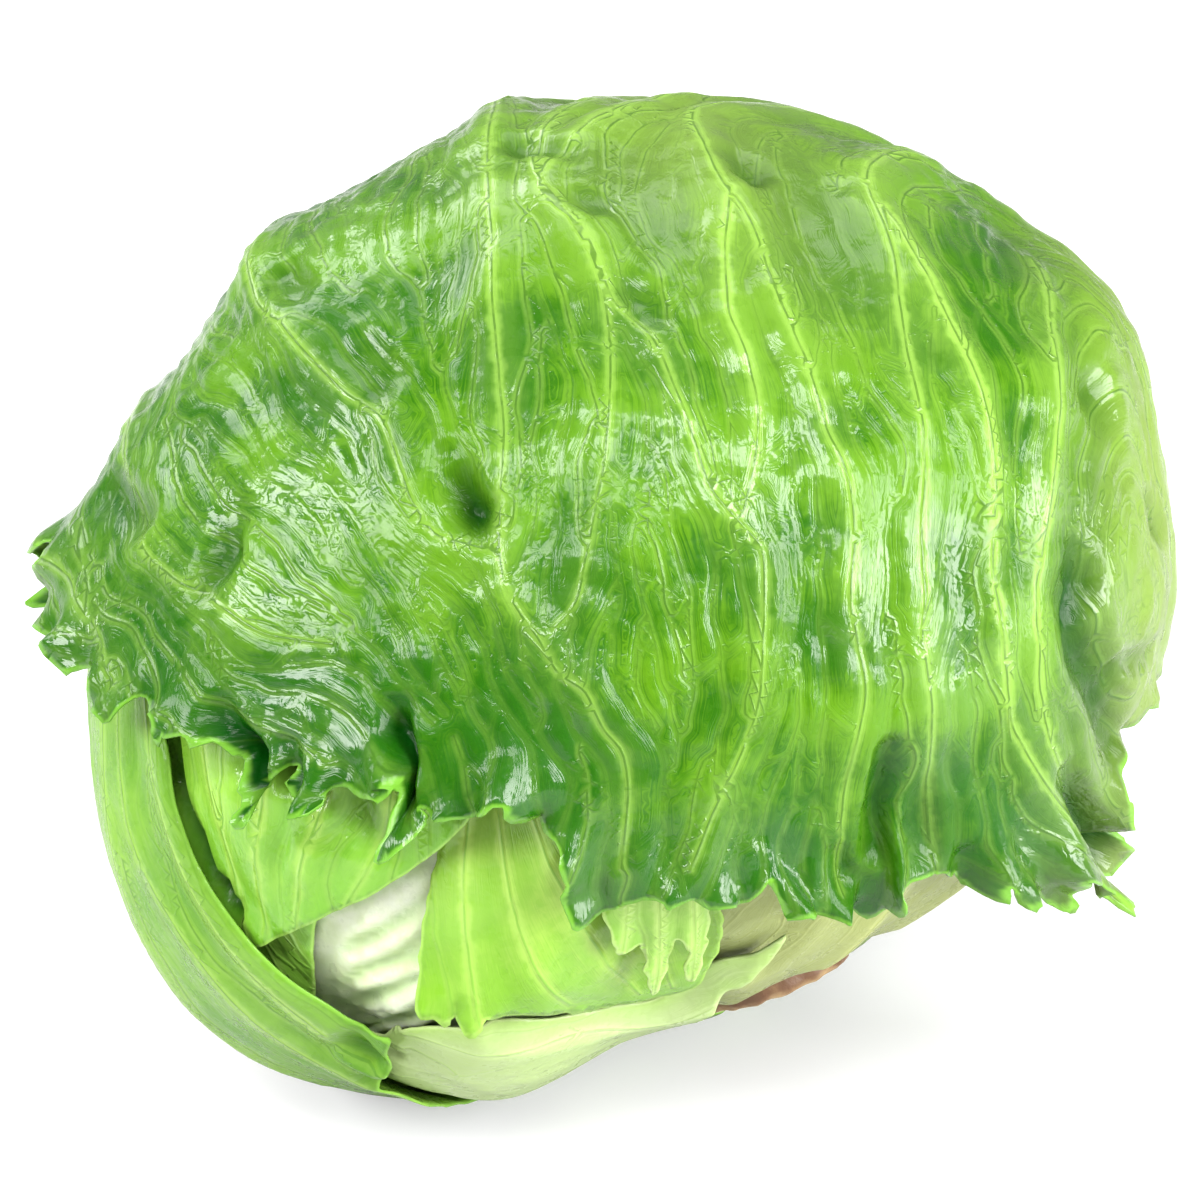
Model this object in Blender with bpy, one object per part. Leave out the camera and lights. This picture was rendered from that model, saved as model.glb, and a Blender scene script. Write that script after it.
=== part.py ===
"""An iceberg lettuce head, lying on its left underside with the cut stem down at its right.

The head is a stem, a dense heart and eight leaves wrapped round them. Every leaf is a thin sheet
that lies on the rounded form of the head. Its outline and ribs are drawn as seen from the front,
from a little above, and go on round the back by compass and height angles. Lower leaves yield to
the leaves over them, so that each keeps a clear layer of its own.
"""

import math

import bpy
import numpy as np
from mathutils.geometry import delaunay_2d_cdt

MM = 0.001

# Driving sizes
HEAD_WIDTH = 165 * MM
FLOOR_BELOW_CENTRE = 73.5 * MM
CENTRE_RIGHT = 3.1 * MM
CENTRE_BACK = -6.4 * MM
FRONT_DEPTH = 66 * MM
BACK_DEPTH = 88 * MM
LEAF_THICKNESS = 1.2 * MM
MARGIN_THICKNESS = 0.8 * MM
GAP = 0.7 * MM
STEM_RADIUS = 13.5 * MM
STEM_GAP = 0.5 * MM
STEM_PROUD = -1 * MM
STEM_DEPTH = 24 * MM
STEM_SIDES = 28
HEART_SIDES = 40
HEART_ROWS = 26
HEART_LEVEL = -6.5 * MM

# How fast a lower leaf may rise past the margin of the leaf over it, and how far it still yields.
RISE = 0.3
YIELD_MARGIN = 1.5 * MM
YIELD_REACH = 16 * MM

MEAN_RADIUS = HEAD_WIDTH / 2

# The drawing that outlines are given on: its scale, its tilt below the horizon and the distance
# of the eye that sees it. Positions on it are in its own pixels, x to the right and y down.
HEAD_WIDTH_PX = 1090
PX = HEAD_WIDTH / HEAD_WIDTH_PX
DRAWING_CENTRE = (600, 600)
HEAD_CENTRE = (625, 603)
VIEW_TILT = math.radians(28)
VIEW_DISTANCE = 1.0

RIGHT = np.array([1.0, 0.0, 0.0])
UP = np.array([0.0, math.sin(VIEW_TILT), math.cos(VIEW_TILT)])
TOWARDS = np.array([0.0, -math.cos(VIEW_TILT), math.sin(VIEW_TILT)])

# The head's centre, in a frame whose origin is on the floor under the middle of the whole head.
CENTRE = np.array([CENTRE_RIGHT, CENTRE_BACK, FLOOR_BELOW_CENTRE])

# The head's outline on the drawing: its radius every 15 degrees, anticlockwise from the right.
OUTLINE = np.array([
    80, 82.5, 85.8, 81, 78, 75.6, 73.6, 74.5, 73, 75.4, 74, 77.4,
    81, 84.5, 88.5, 89.5, 84.6, 78, 66, 63.5, 63, 64.5, 68.5, 74,
]) * MM

# The stem's way out of the head, as compass and height angles, and the opening's middle.
STEM_WAY = (50, -62)
OPENING_WAY = (326, -34)

# The underside's fullness, where the head sits down: compass, height, reach and height in mm.
SEAT = (165, -77, 46 * MM, 7.5 * MM)


def unit(v):
    v = np.asarray(v, float)
    return v / np.linalg.norm(v, axis=-1, keepdims=True)


def compass(azimuth, elevation):
    """The direction at that angle round from the front towards the right, and above the horizon."""
    a, e = np.radians(azimuth), np.radians(elevation)
    return np.stack([np.sin(a) * np.cos(e), -np.cos(a) * np.cos(e), np.sin(e)], -1)


def smooth_closed(values, at):
    """A closed Catmull-Rom curve through values, read at positions counted in values."""
    values = np.asarray(values, float)
    n = len(values)
    i = np.floor(at).astype(int)
    f = at - i
    if values.ndim > 1:
        f = f[:, None]
    a, b, c, d = (values[(i + k) % n] for k in (-1, 0, 1, 2))
    return b + 0.5 * f * (c - a + f * (2 * a - 5 * b + 4 * c - d + f * (3 * (b - c) + d - a)))


def dome(distance, reach):
    """1 at distance 0, falling smoothly to 0 at reach."""
    t = np.clip(distance / reach, 0, 1)
    return (1 - t * t) ** 2


def arc_mm(d, towards):
    """The distance over the head's surface between directions, for its mean radius."""
    return np.arccos(np.clip(d @ towards, -1, 1)) * MEAN_RADIUS


def form(d):
    """The radius of the head's rounded form in each direction, before any leaf's own relief."""
    x, u, w = d @ RIGHT, d @ UP, d @ TOWARDS
    around = np.mod(np.arctan2(u, x), 2 * np.pi) / (2 * np.pi) * len(OUTLINE)
    rho = smooth_closed(OUTLINE, around)
    depth = np.where(w > 0, FRONT_DEPTH, BACK_DEPTH)
    radius = 1 / np.sqrt((x * x + u * u) / rho**2 + (w / depth) ** 2)
    azimuth, elevation, reach, height = SEAT
    return radius + height * dome(arc_mm(d, compass(azimuth, elevation)), reach)


def above_floor(d, radius, lift=0.0):
    """The radius cut back to the floor that the head sits on."""
    down = np.maximum(-d[:, 2], 1e-9)
    return np.minimum(radius, (FLOOR_BELOW_CENTRE - lift) / down)


def along_path(d, path):
    """The distance over the surface to a path of directions, and the place on it, in points."""
    best = np.full(len(d), np.inf)
    place = np.zeros(len(d))
    for k, (a, b) in enumerate(zip(path[:-1], path[1:])):
        along = b - a
        t = np.clip((d - a) @ along / (along @ along), 0, 1)
        gap = np.linalg.norm(d - a - t[:, None] * along, axis=1)
        place = np.where(gap < best, k + t, place)
        best = np.minimum(best, gap)
    return best * MEAN_RADIUS, place


def seen(points, radius_of):
    """The directions in which a surface lies behind points of the drawing."""
    points = np.asarray(points, float)
    flat = (points - DRAWING_CENTRE) * PX * (1, -1)
    shift = (np.array(DRAWING_CENTRE) - HEAD_CENTRE) * PX * (1, -1)
    steps = np.linspace(0.1, -0.02, 241)
    scale = 1 - steps / VIEW_DISTANCE
    at = (
        (shift[0] + flat[:, None, 0] * scale)[..., None] * RIGHT
        + (shift[1] + flat[:, None, 1] * scale)[..., None] * UP
        + (steps * np.ones_like(flat[:, :1]))[..., None] * TOWARDS
    )
    size = np.linalg.norm(at, axis=2)
    outside = size - radius_of(unit(at).reshape(-1, 3)).reshape(size.shape)
    found = []
    for row, gaps in zip(at, outside):
        hit = np.nonzero(gaps < 0)[0]
        k = hit[0] if len(hit) else int(np.argmin(gaps))
        if len(hit) and k:
            f = gaps[k - 1] / (gaps[k - 1] - gaps[k])
            found.append(row[k - 1] + f * (row[k] - row[k - 1]))
        else:
            found.append(row[k])
    return unit(found)


def off_the_stem(d):
    """Directions moved, where they fall on the stem, to just outside it."""
    axis = compass(*STEM_WAY)
    reach = math.asin((STEM_RADIUS + STEM_GAP) / form(axis[None])[0])
    angle = np.arccos(np.clip(d @ axis, -1, 1))
    wanted = np.maximum(angle, reach + 0.12 * angle)
    across = unit(d - (d @ axis)[:, None] * axis + 1e-12)
    return np.cos(wanted)[:, None] * axis + np.sin(wanted)[:, None] * across


class Leaf:
    """A leaf's place, outline and relief.

    seen_margin holds the outline's points on the drawing. base_margin and hidden_margin hold those
    near the stem and round the back, as compass and height angles. Each has a third number, the
    millimetres by which the margin stands off there. The outline runs through the three lists in
    turn, and waves along the third.
    Relief is a list of ribs, folds and creases: a half width, and the points that it runs along,
    each with its height in millimetres.
    """

    def __init__(self, name, middle, seen_margin, base_margin=(), hidden_margin=(), level=0.0,
                 thickness=LEAF_THICKNESS, flare=14 * MM, relief=(), hidden_relief=(),
                 tooth=0.0, wave=0.0, edge=3 * MM, inside=8 * MM, seed=1):
        self.name = name
        self.level = level
        self.thickness = thickness
        self.flare = flare
        self.tooth = tooth
        self.wave = wave
        self.edge = edge
        self.inside = inside
        self.seed = seed
        self.above = []
        self.middle = compass(*middle)
        side = unit(np.cross([0.0, 0.0, 1.0], self.middle))
        self.axes = np.stack([side, np.cross(self.middle, side)])
        self.relief = []
        for width, points in relief:
            path = seen([p[:2] for p in points], lambda d: form(d) + level)
            self.relief.append((width * MM, path, [p[2] * MM for p in points]))
        for width, points in hidden_relief:
            path = np.array([compass(*p[:2]) for p in points])
            self.relief.append((width * MM, path, [p[2] * MM for p in points]))
        control = []
        for x, y, lift in seen_margin:
            at = seen([(x, y)], lambda d, lift=lift: self.bare(d) + lift * MM)
            control.append((*self.flatten(at)[0], lift * MM, 0))
        for margin, waved in ((base_margin, 0), (hidden_margin, 1)):
            for azimuth, elevation, lift in margin:
                at = self.flatten(compass(azimuth, elevation)[None])[0]
                control.append((*at, lift * MM, waved))
        self.control = np.array(control)
        self.guard, self.guard_lift = self.border(3.5 * MM)
        self.guard_way = self.unflatten(self.guard)

    def flatten(self, d):
        """Directions as places on a plane: a stereographic view from the leaf's middle."""
        return d @ self.axes.T * (2 / (1 + d @ self.middle))[:, None]

    def stretch(self, flat):
        """How much longer a short line is on that plane than over the unit sphere."""
        return 1 + np.sum(flat**2, axis=1) / 4

    def unflatten(self, flat):
        grown = self.stretch(flat)[:, None]
        return (2 - grown) / grown * self.middle + flat @ self.axes / grown

    def bare(self, d):
        """The radius of the outer face, with its relief and without its margin's stand-off."""
        radius = form(d) + self.level
        for width, path, heights in self.relief:
            distance, place = along_path(d, path)
            radius = radius + np.interp(place, np.arange(len(path)), heights) * dome(distance, width)
        return radius

    def border(self, step):
        """The outline at even steps: places on the plane, and the margin's stand-off."""
        fine = smooth_closed(self.control, np.arange(0, len(self.control), 0.02))
        chord = self.unflatten(fine[:, :2])
        gaps = np.linalg.norm(chord - np.roll(chord, -1, axis=0), axis=1) * MEAN_RADIUS
        run = np.concatenate([[0], np.cumsum(gaps)])
        count = round(run[-1] / step)
        at = np.linspace(0, run[-1], count, endpoint=False)
        closed = np.vstack([fine, fine[:1]])
        x, y, lift, hidden = (np.interp(at, run, closed[:, k]) for k in range(4))
        flat = np.stack([x, y], 1)
        rng = np.random.default_rng(self.seed)
        turns = [round(run[-1] / (pitch * MM)) for pitch in (31, 17, 11)]
        sines = [np.sin(2 * np.pi * (n * at / run[-1] + rng.random())) for n in turns]
        out = self.wave * hidden * (sines[0] + 0.6 * sines[1] + 0.4 * sines[2])
        lift = lift + self.wave * hidden * (0.8 * sines[1] + 0.6 * sines[2] + 1.0)
        return flat + self.outward(flat) * (out / MEAN_RADIUS * self.stretch(flat))[:, None], lift

    def outward(self, flat):
        """The plane's directions out of the outline at its points."""
        ahead = np.roll(flat, -1, axis=0) - np.roll(flat, 1, axis=0)
        beyond = np.roll(flat, -1, axis=0)
        area = np.sum(flat[:, 0] * beyond[:, 1] - flat[:, 1] * beyond[:, 0])
        return np.sign(area) * unit(np.stack([ahead[:, 1], -ahead[:, 0]], 1))

    def contains(self, flat, outline):
        """Whether places on the plane lie inside an outline."""
        inside = np.zeros(len(flat), bool)
        for a, b in zip(outline, np.roll(outline, -1, axis=0)):
            crosses = (a[1] > flat[:, 1]) != (b[1] > flat[:, 1])
            slope = (b[0] - a[0]) / (b[1] - a[1] if b[1] != a[1] else 1e-12)
            inside ^= crosses & (flat[:, 0] < slope * (flat[:, 1] - a[1]) + a[0])
        return inside

    def from_margin(self, d):
        """The distance over the surface from each direction to the outline."""
        return along_path(d, np.vstack([self.guard_way, self.guard_way[:1]]))[0]

    def flared(self, d, distance):
        """How far the margin's stand-off lifts each place."""
        square = 2 - 2 * d @ self.guard_way.T
        weight = 1 / (square + (2 * MM / MEAN_RADIUS) ** 2) ** 2
        lift = weight @ self.guard_lift / weight.sum(axis=1)
        return lift * np.exp(-distance / self.flare)

    def clear_of(self, d):
        """The greatest radius that leaves this leaf's inner face clear, in each direction."""
        inside = self.contains(self.flatten(d), self.guard)
        past = np.where(inside, 0, self.from_margin(d)) - YIELD_MARGIN
        rise = RISE * np.maximum(past, 0) + 40 * np.maximum(past - YIELD_REACH, 0)
        return self.settled(d) - self.thickness - GAP + rise

    def settled(self, d):
        """The radius of the outer face after it has yielded to the leaves over it."""
        radius = above_floor(d, self.bare(d))
        for leaf in self.above:
            radius = np.minimum(radius, leaf.clear_of(d))
        return radius


def toothed(leaf, flat):
    """The outline with small pointed teeth, at seeded random steps."""
    rng = np.random.default_rng(leaf.seed)
    out = np.zeros(len(flat))
    at = 0
    while at < len(flat):
        span = int(rng.integers(2, 6))
        out[min(at + span // 2, len(flat) - 1)] = rng.uniform(0.3, 1.0)
        at += span
    shift = out * leaf.tooth / MEAN_RADIUS * leaf.stretch(flat)
    return flat + leaf.outward(flat) * shift[:, None]


def lattice(spacing, low, high):
    """A triangular lattice over a box. It holds every point of the one with twice the spacing."""
    height = spacing * math.sqrt(3) / 2
    rows = np.arange(math.floor(low[1] / height), math.ceil(high[1] / height) + 1)
    first = math.floor(low[0] / spacing - rows[-1] / 2) - 1
    last = math.ceil(high[0] / spacing - rows[0] / 2) + 1
    column, row = np.meshgrid(np.arange(first, last + 1), rows)
    points = np.stack([(column + row / 2) * spacing, row * height], -1).reshape(-1, 2)
    return points[(points[:, 0] > low[0]) & (points[:, 0] < high[0])]


def fill_outline(leaf, outline):
    """Places and triangles that fill an outline, close together near it and wider inside."""
    low, high = outline.min(axis=0), outline.max(axis=0)
    kept = []
    spacing = 0.5
    finest = leaf.edge / MEAN_RADIUS
    while spacing > 0.6 * finest:
        points = lattice(spacing, low, high)
        points = points[leaf.contains(points, outline)]
        if len(points):
            real = spacing * MEAN_RADIUS / leaf.stretch(points)
            distance = leaf.from_margin(leaf.unflatten(points))
            wanted = np.clip(leaf.edge + 0.5 * distance, leaf.edge, leaf.inside)
            kept.append(points[(real > 0.72 * wanted) & (distance > 0.6 * wanted)])
        spacing /= 2
    inner = np.unique(np.round(np.vstack(kept), 6), axis=0)
    places = np.vstack([outline, inner])
    ring = [list(range(len(outline)))]
    made = delaunay_2d_cdt([tuple(p) for p in places.tolist()], [], ring, 1, 1e-7)
    return np.array([tuple(p) for p in made[0]]), np.array(made[2]), len(outline)


def leaf_solid(leaf):
    """Points and triangles of the closed leaf: an outer face, an inner one and the margin."""
    outline, lift = leaf.border(leaf.edge)
    flat, faces, rim_count = fill_outline(leaf, toothed(leaf, outline) if leaf.tooth else outline)
    d = off_the_stem(leaf.unflatten(flat))
    distance = leaf.from_margin(d)
    distance[:rim_count] = 0
    radius = above_floor(d, leaf.settled(d) + leaf.flared(d, distance))
    outer = d * radius[:, None]
    normal = np.cross(outer[faces[:, 1]] - outer[faces[:, 0]], outer[faces[:, 2]] - outer[faces[:, 0]])
    if np.mean(np.sum(normal * outer[faces[:, 0]], axis=1)) < 0:
        faces = faces[:, ::-1]
        normal = -normal
    lean = np.zeros_like(outer)
    for k in range(3):
        np.add.at(lean, faces[:, k], normal)
    thick = MARGIN_THICKNESS + (leaf.thickness - MARGIN_THICKNESS) * np.clip(distance / (6 * MM), 0, 1)
    inner = outer - unit(lean) * thick[:, None]
    sides = margin_sides(faces, len(outer))
    return np.vstack([outer, inner]), np.vstack([faces, faces[:, ::-1] + len(outer), sides])


def margin_sides(faces, count):
    """The triangles that join the free edges of the outer face to those of the inner one."""
    ends = np.concatenate([faces[:, [0, 1]], faces[:, [1, 2]], faces[:, [2, 0]]])
    keys = ends[:, 0] * count + ends[:, 1]
    mates = ends[:, 1] * count + ends[:, 0]
    a, b = ends[~np.isin(keys, mates)].T
    return np.vstack([np.stack([b, a, a + count], 1), np.stack([b, a + count, b + count], 1)])


def heart_solid(leaves):
    """The dense ball of inner leaves, which every leaf round it clears. Its rows of points start
    at the opening, where they are closest."""
    pole = compass(*OPENING_WAY)
    side = unit(np.cross(pole, [0.0, 0.0, 1.0]))
    other = np.cross(pole, side)
    turns = np.linspace(0, 2 * math.pi, HEART_SIDES, endpoint=False)
    d = [pole[None]]
    for k in range(1, HEART_ROWS):
        row = math.pi * (k / HEART_ROWS) ** 1.35
        ring = np.cos(turns)[:, None] * side + np.sin(turns)[:, None] * other
        d.append(math.cos(row) * pole + math.sin(row) * ring)
    d.append(-pole[None])
    d = np.vstack(d)
    radius = form(d) + HEART_LEVEL
    for width, points in HEART_FOLDS:
        path = seen([p[:2] for p in points], lambda q: form(q) + HEART_LEVEL)
        distance, place = along_path(d, path)
        heights = np.interp(place, np.arange(len(path)), [p[2] * MM for p in points])
        radius = radius + heights * dome(distance, width * MM)
    radius = above_floor(d, radius, 4 * MM)
    for leaf in leaves:
        radius = np.minimum(radius, leaf.clear_of(d))
    count, last = HEART_SIDES, len(d) - 1
    faces = []
    for i in range(count):
        j = (i + 1) % count
        faces.append((0, 1 + i, 1 + j))
        faces.append((last, last - count + j, last - count + i))
        for row in range(HEART_ROWS - 2):
            a, b = 1 + row * count, 1 + (row + 1) * count
            faces += [(a + i, b + i, b + j), (a + i, b + j, a + j)]
    return facing_out(d * radius[:, None], np.array(faces), pole)


def stem_solid(grown=0.0, above=0.0):
    """The stem's stump: a round, slightly lobed pillar with a flat cut end. It can be grown all
    round, and reach further out, to cut its own socket."""
    axis = compass(*STEM_WAY)
    end = form(axis[None])[0] + STEM_PROUD
    side = unit(np.cross(axis, [0.0, 0.0, 1.0]))
    other = np.cross(axis, side)
    turns = np.linspace(0, 2 * math.pi, STEM_SIDES, endpoint=False)
    lobed = 1 - 0.03 * (1 + np.cos(5 * turns))
    ring = (np.cos(turns) * lobed)[:, None] * side + (np.sin(turns) * lobed)[:, None] * other
    levels = [
        (end + above, STEM_RADIUS if above else 0.94 * STEM_RADIUS),
        (end - 1.2 * MM, STEM_RADIUS),
        (end - 8 * MM, STEM_RADIUS),
        (end - STEM_DEPTH - grown, 0.8 * STEM_RADIUS),
    ]
    points = np.vstack([axis * at + ring * (radius + grown) for at, radius in levels])
    points = np.vstack([points, axis * levels[0][0], axis * levels[-1][0]])
    n, top, bottom = STEM_SIDES, len(points) - 2, len(points) - 1
    faces = []
    for i in range(n):
        j = (i + 1) % n
        faces.append((top, i, j))
        faces.append((bottom, 3 * n + j, 3 * n + i))
        for k in range(3):
            a, b = k * n, (k + 1) * n
            faces += [(a + i, b + i, b + j), (a + i, b + j, a + j)]
    return facing_out(points, np.array(faces), axis)


def facing_out(points, faces, way):
    """The mesh with its faces turned so that the first one looks along a direction."""
    a, b, c = points[faces[0]]
    return points, faces[:, ::-1] if np.cross(b - a, c - a) @ way < 0 else faces


def add_object(name, points, faces, material):
    places = points + CENTRE
    places[np.abs(places[:, 2]) < 1e-6, 2] = 0
    mesh = bpy.data.meshes.new(name)
    mesh.from_pydata(places.tolist(), [], faces.tolist())
    mesh.validate()
    mesh.shade_smooth()
    mesh.materials.append(material)
    made = bpy.data.objects.new(name, mesh)
    bpy.context.scene.collection.objects.link(made)
    return made


def plain_material(name, colour, roughness):
    """A material in a colour given as its display values of 0 to 255."""
    share = np.array(colour) / 255
    linear = np.where(share <= 0.04045, share / 12.92, ((share + 0.055) / 1.055) ** 2.4)
    material = bpy.data.materials.new(name)
    material.use_nodes = True
    shader = material.node_tree.nodes["Principled BSDF"]
    shader.inputs["Base Color"].default_value = (*linear, 1.0)
    shader.inputs["Roughness"].default_value = roughness
    shader.inputs["Metallic"].default_value = 0.0
    return material


# The big leaf over the top: its long frilled margin hangs across the front, from the ear at the
# left to the flounce at the right, and its base runs down the back and the right to the stem.
CAP_SEEN = [
    (42, 543, 5), (31, 569, 6), (34, 600, 6), (37, 630, 6), (60, 641, 5), (66, 676, 5), (82, 665, 4),
    (100, 681, 4), (98, 712, 4), (110, 704, 4), (122, 720, 4), (137, 695, 4), (163, 719, 4),
    (167, 741, 4), (200, 733, 4), (236, 745, 4), (240, 800, 5), (248, 821, 5), (262, 797, 5),
    (283, 776, 4), (298, 784, 4), (304, 806, 4), (332, 790, 4), (360, 791, 4), (390, 760, 5),
    (384, 812, 5), (388, 852, 5), (411, 842, 5), (426, 815, 4), (448, 813, 3), (480, 811, 3),
    (508, 799, 3), (528, 814, 3), (559, 842, 3), (568, 878, 3), (573, 915, 4), (610, 908, 4),
    (668, 893, 4), (712, 900, 4), (744, 896, 4), (764, 886, 4), (766, 902, 4), (784, 914, 4),
    (821, 909, 4), (859, 914, 4), (893, 899, 4), (912, 889, 4), (939, 869, 5), (968, 884, 6),
    (1003, 884, 8), (1026, 907, 10), (1046, 902, 11), (1063, 904, 12), (1089, 884, 14),
    (1117, 890, 17), (1131, 909, 19), (1145, 888, 19), (1155, 861, 19), (1136, 830, 14),
    (1120, 785, 7), (1112, 745, 3),
]
CAP_BASE = [
    (90, -8, 0), (96, -11, 0), (99, -20, 0), (97, -32, 0), (92, -44, 0), (85, -54, 0), (79, -60, 0),
    (81, -66, 0), (98, -65, 0), (116, -58, 0),
]
CAP_HIDDEN = [
    (130, -48, 1), (144, -41, 1), (162, -33, 1), (182, -27, 1), (202, -20, 1), (222, -14, 1),
    (240, -9, 1), (254, -5, 1), (264, -2, 1),
]
CAP_RELIEF = [
    (10, [(262, 240, 1.6), (285, 330, 2), (385, 425, 2), (445, 540, 2), (520, 600, 1.5), (600, 720, 0.5)]),
    (10, [(500, 112, 1.2), (560, 230, 1.6), (640, 340, 1.6), (690, 440, 1.6), (750, 540, 0.8)]),
    (8, [(440, 135, 1.2), (490, 300, 1.4), (505, 450, 0.8)]),
    (9, [(690, 112, 1), (735, 230, 1.4), (790, 340, 1.4), (830, 470, 0.6)]),
    (10, [(118, 436, 1.7), (165, 560, 1.6), (230, 610, 1.4), (330, 645, 0.6)]),
    (10, [(850, 140, 1.6), (920, 300, 1.4), (1000, 480, 1.2), (1020, 700, 0.6)]),
    (14, [(1012, 226, -4), (1040, 320, -2.5), (1075, 420, -2), (1085, 520, -2.5), (1092, 640, -4),
          (1104, 720, -5)]),
    (6, [(228, 520, -2), (222, 575, -2)]),
    (6, [(455, 470, -1.6), (465, 505, -1.6)]),
    (5, [(1068, 810, -4), (1056, 850, -4)]),
    (8, [(48, 560, 3), (50, 600, 3), (62, 632, 2)]),
    (6, [(66, 575, -2.5), (76, 615, -2.5)]),
    (5, [(248, 821, 6), (230, 750, 4), (222, 690, 0)]),
    (5, [(300, 800, 4), (296, 740, 0)]),
    (5, [(396, 850, 6), (402, 790, 5), (404, 720, 0)]),
    (5, [(335, 790, 3), (330, 730, 0)]),
    (4, [(508, 799, 4), (505, 750, 0)]),
    (7, [(573, 912, 4), (570, 820, 0)]),
    (7, [(640, 900, 3), (640, 800, 0)]),
    (7, [(705, 898, 3), (700, 800, 0)]),
    (6, [(772, 890, 3.5), (745, 830, 0)]),
    (7, [(830, 910, 4), (820, 800, 0)]),
    (5, [(893, 898, 5), (905, 830, 4), (912, 760, 0)]),
    (6, [(950, 876, 4), (958, 780, 0)]),
    (5, [(1005, 886, 4), (1010, 800, 0)]),
    (5, [(1035, 904, 4), (1040, 840, 0)]),
    (6, [(1075, 900, 5), (1085, 830, 0)]),
    (6, [(1131, 905, 5), (1110, 830, 3), (1100, 780, 0)]),
]
CAP_HIDDEN_RELIEF = [
    (15, [(92, -60, 4), (108, -40, 4), (132, -12, 3.4), (158, 16, 2.6), (190, 46, 1.2)]),
    (10, [(98, -50, 2.4), (106, -20, 2.4), (118, 20, 2), (128, 50, 1)]),
    (10, [(104, -55, 2.6), (136, -34, 2.4), (172, -8, 2.2), (210, 16, 1.8), (236, 34, 1)]),
    (8, [(116, -52, 1.8), (150, -32, 2), (190, -16, 1.6), (225, 2, 1)]),
    (9, [(126, -20, 0), (140, 24, 1.8), (160, 52, 1.2)]),
]

# The broad leaf round the left and the underside, on which the head sits.
LEFT_SEEN = [
    (150, 690, 0), (166, 742, 0), (176, 800, 0), (200, 868, 0), (243, 932, 0), (296, 984, 0),
    (345, 1014, 0), (388, 1040, 1), (390, 1062, 1), (384, 1078, 0), (402, 1092, 0), (432, 1104, 0),
]
LEFT_BASE = [
    (330, -68, 0), (350, -75, 0), (16, -77, 0), (32, -75.5, 0), (50, -76, 0), (68, -74, 0),
    (80, -69, 0), (100, -65, 0), (122, -52, 0), (140, -34, 0), (165, -16, 0), (195, -6, 0), (225, 2, 0), (250, 12, 0),
    (272, 18, 0), (288, 16, 0),
]
LEFT_RELIEF = [
    (7, [(128, 700, 1.2), (132, 820, 1.4), (200, 960, 1.4), (300, 1040, 1), (380, 1072, 0.5)]),
]
LEFT_HIDDEN_RELIEF = [
    (12, [(70, -76, 1), (200, -64, 2.2), (232, -44, 2.2), (250, -20, 1.8), (258, 4, 1)]),
    (9, [(110, -66, 1), (180, -44, 1.6), (212, -22, 1.2), (228, -4, 0.6)]),
]

# The leaf up the right side. Its pale base shows between the frilled margin and the stem.
RIGHT_SEEN = [
    (710, 1010, 0), (698, 970, 0), (706, 920, 0), (750, 850, 0), (830, 800, 0), (900, 700, 0),
    (990, 600, 0), (1060, 530, 0), (1120, 520, 0),
]
RIGHT_BASE = [
    (84, 8, 0), (92, 4, 0), (102, -8, 0), (108, -24, 0), (105, -42, 0), (96, -54, 0), (82, -61, 0),
    (75, -57, 0), (67, -52, 0), (59, -49.5, 0), (50, -48.3, 0), (41, -49.5, 0), (33, -52, 0),
    (26, -56.5, 0),
]

# The yellow-green leaf folded over in the opening at the lower left.
FOLD_SEEN = [
    (475, 806, 1), (440, 848, 1), (382, 888, 1), (312, 922, 1), (256, 948, 1), (236, 934, 0),
    (200, 930, 0), (150, 880, 0), (110, 800, 0), (110, 720, 0), (170, 660, 0), (280, 650, 0),
    (400, 680, 0), (480, 740, 0),
]

# The leaf below the middle, from the stem leftwards, with its frilled lower corner.
FRONT_SEEN = [
    (520, 780, 0), (462, 818, 0), (436, 842, 0), (425, 890, 0), (421, 940, 0), (420, 985, 1),
    (414, 1008, 3), (430, 1028, 3), (450, 1010, 2), (476, 1040, 3), (484, 1014, 2), (500, 1010, 1),
    (560, 1012, 0), (620, 1004, 0), (684, 990, 0), (712, 962, 0), (722, 920, 0), (700, 850, 0),
    (640, 790, 0), (580, 770, 0),
]

# The torn tips that hang between the margin and the leaf below it.
FRAYED_SEEN = [
    (600, 900, 1), (614, 940, 2), (620, 953, 2), (642, 942, 1), (647, 968, 2), (654, 993, 2),
    (669, 954, 1), (676, 936, 1), (690, 950, 2), (684, 968, 2), (694, 979, 2), (704, 944, 1),
    (708, 900, 0), (690, 850, 0), (640, 840, 0), (600, 860, 0),
]

# The small light leaf tucked under the folded one.
TUCK_SEEN = [
    (316, 890, 0), (315, 930, 0), (315, 975, 0), (316, 1006, 0), (290, 1010, 0), (240, 960, 0),
    (215, 910, 0), (250, 880, 0),
]

# The pale leaf that makes the underside's front, from the stem leftwards.
UNDER_SEEN = [
    (720, 1008, 1), (745, 990, 1), (770, 962, 1), (786, 936, 1), (752, 956, 0), (715, 975, 0),
    (660, 1006, 0), (604, 1021, 0), (560, 1028, 0), (500, 1027, 0), (440, 1034, 0), (390, 1036, 0),
    (350, 1030, 0), (330, 1050, 0),
]
UNDER_BASE = [
    (322, -66, 0), (335, -75, 0), (0, -80, 0), (22, -75, 0), (17, -68, 0), (18, -62, 0),
]

# The crinkles of the white inner leaf in the opening.
HEART_FOLDS = [
    (4, [(318, 935, 1), (350, 925, 2), (400, 900, 1.5), (440, 870, 1)]),
    (4, [(316, 975, 1), (350, 965, 1.6), (420, 940, 1)]),
    (4, [(330, 1010, 1), (370, 1000, 1.6), (430, 985, 1)]),
]


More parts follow.
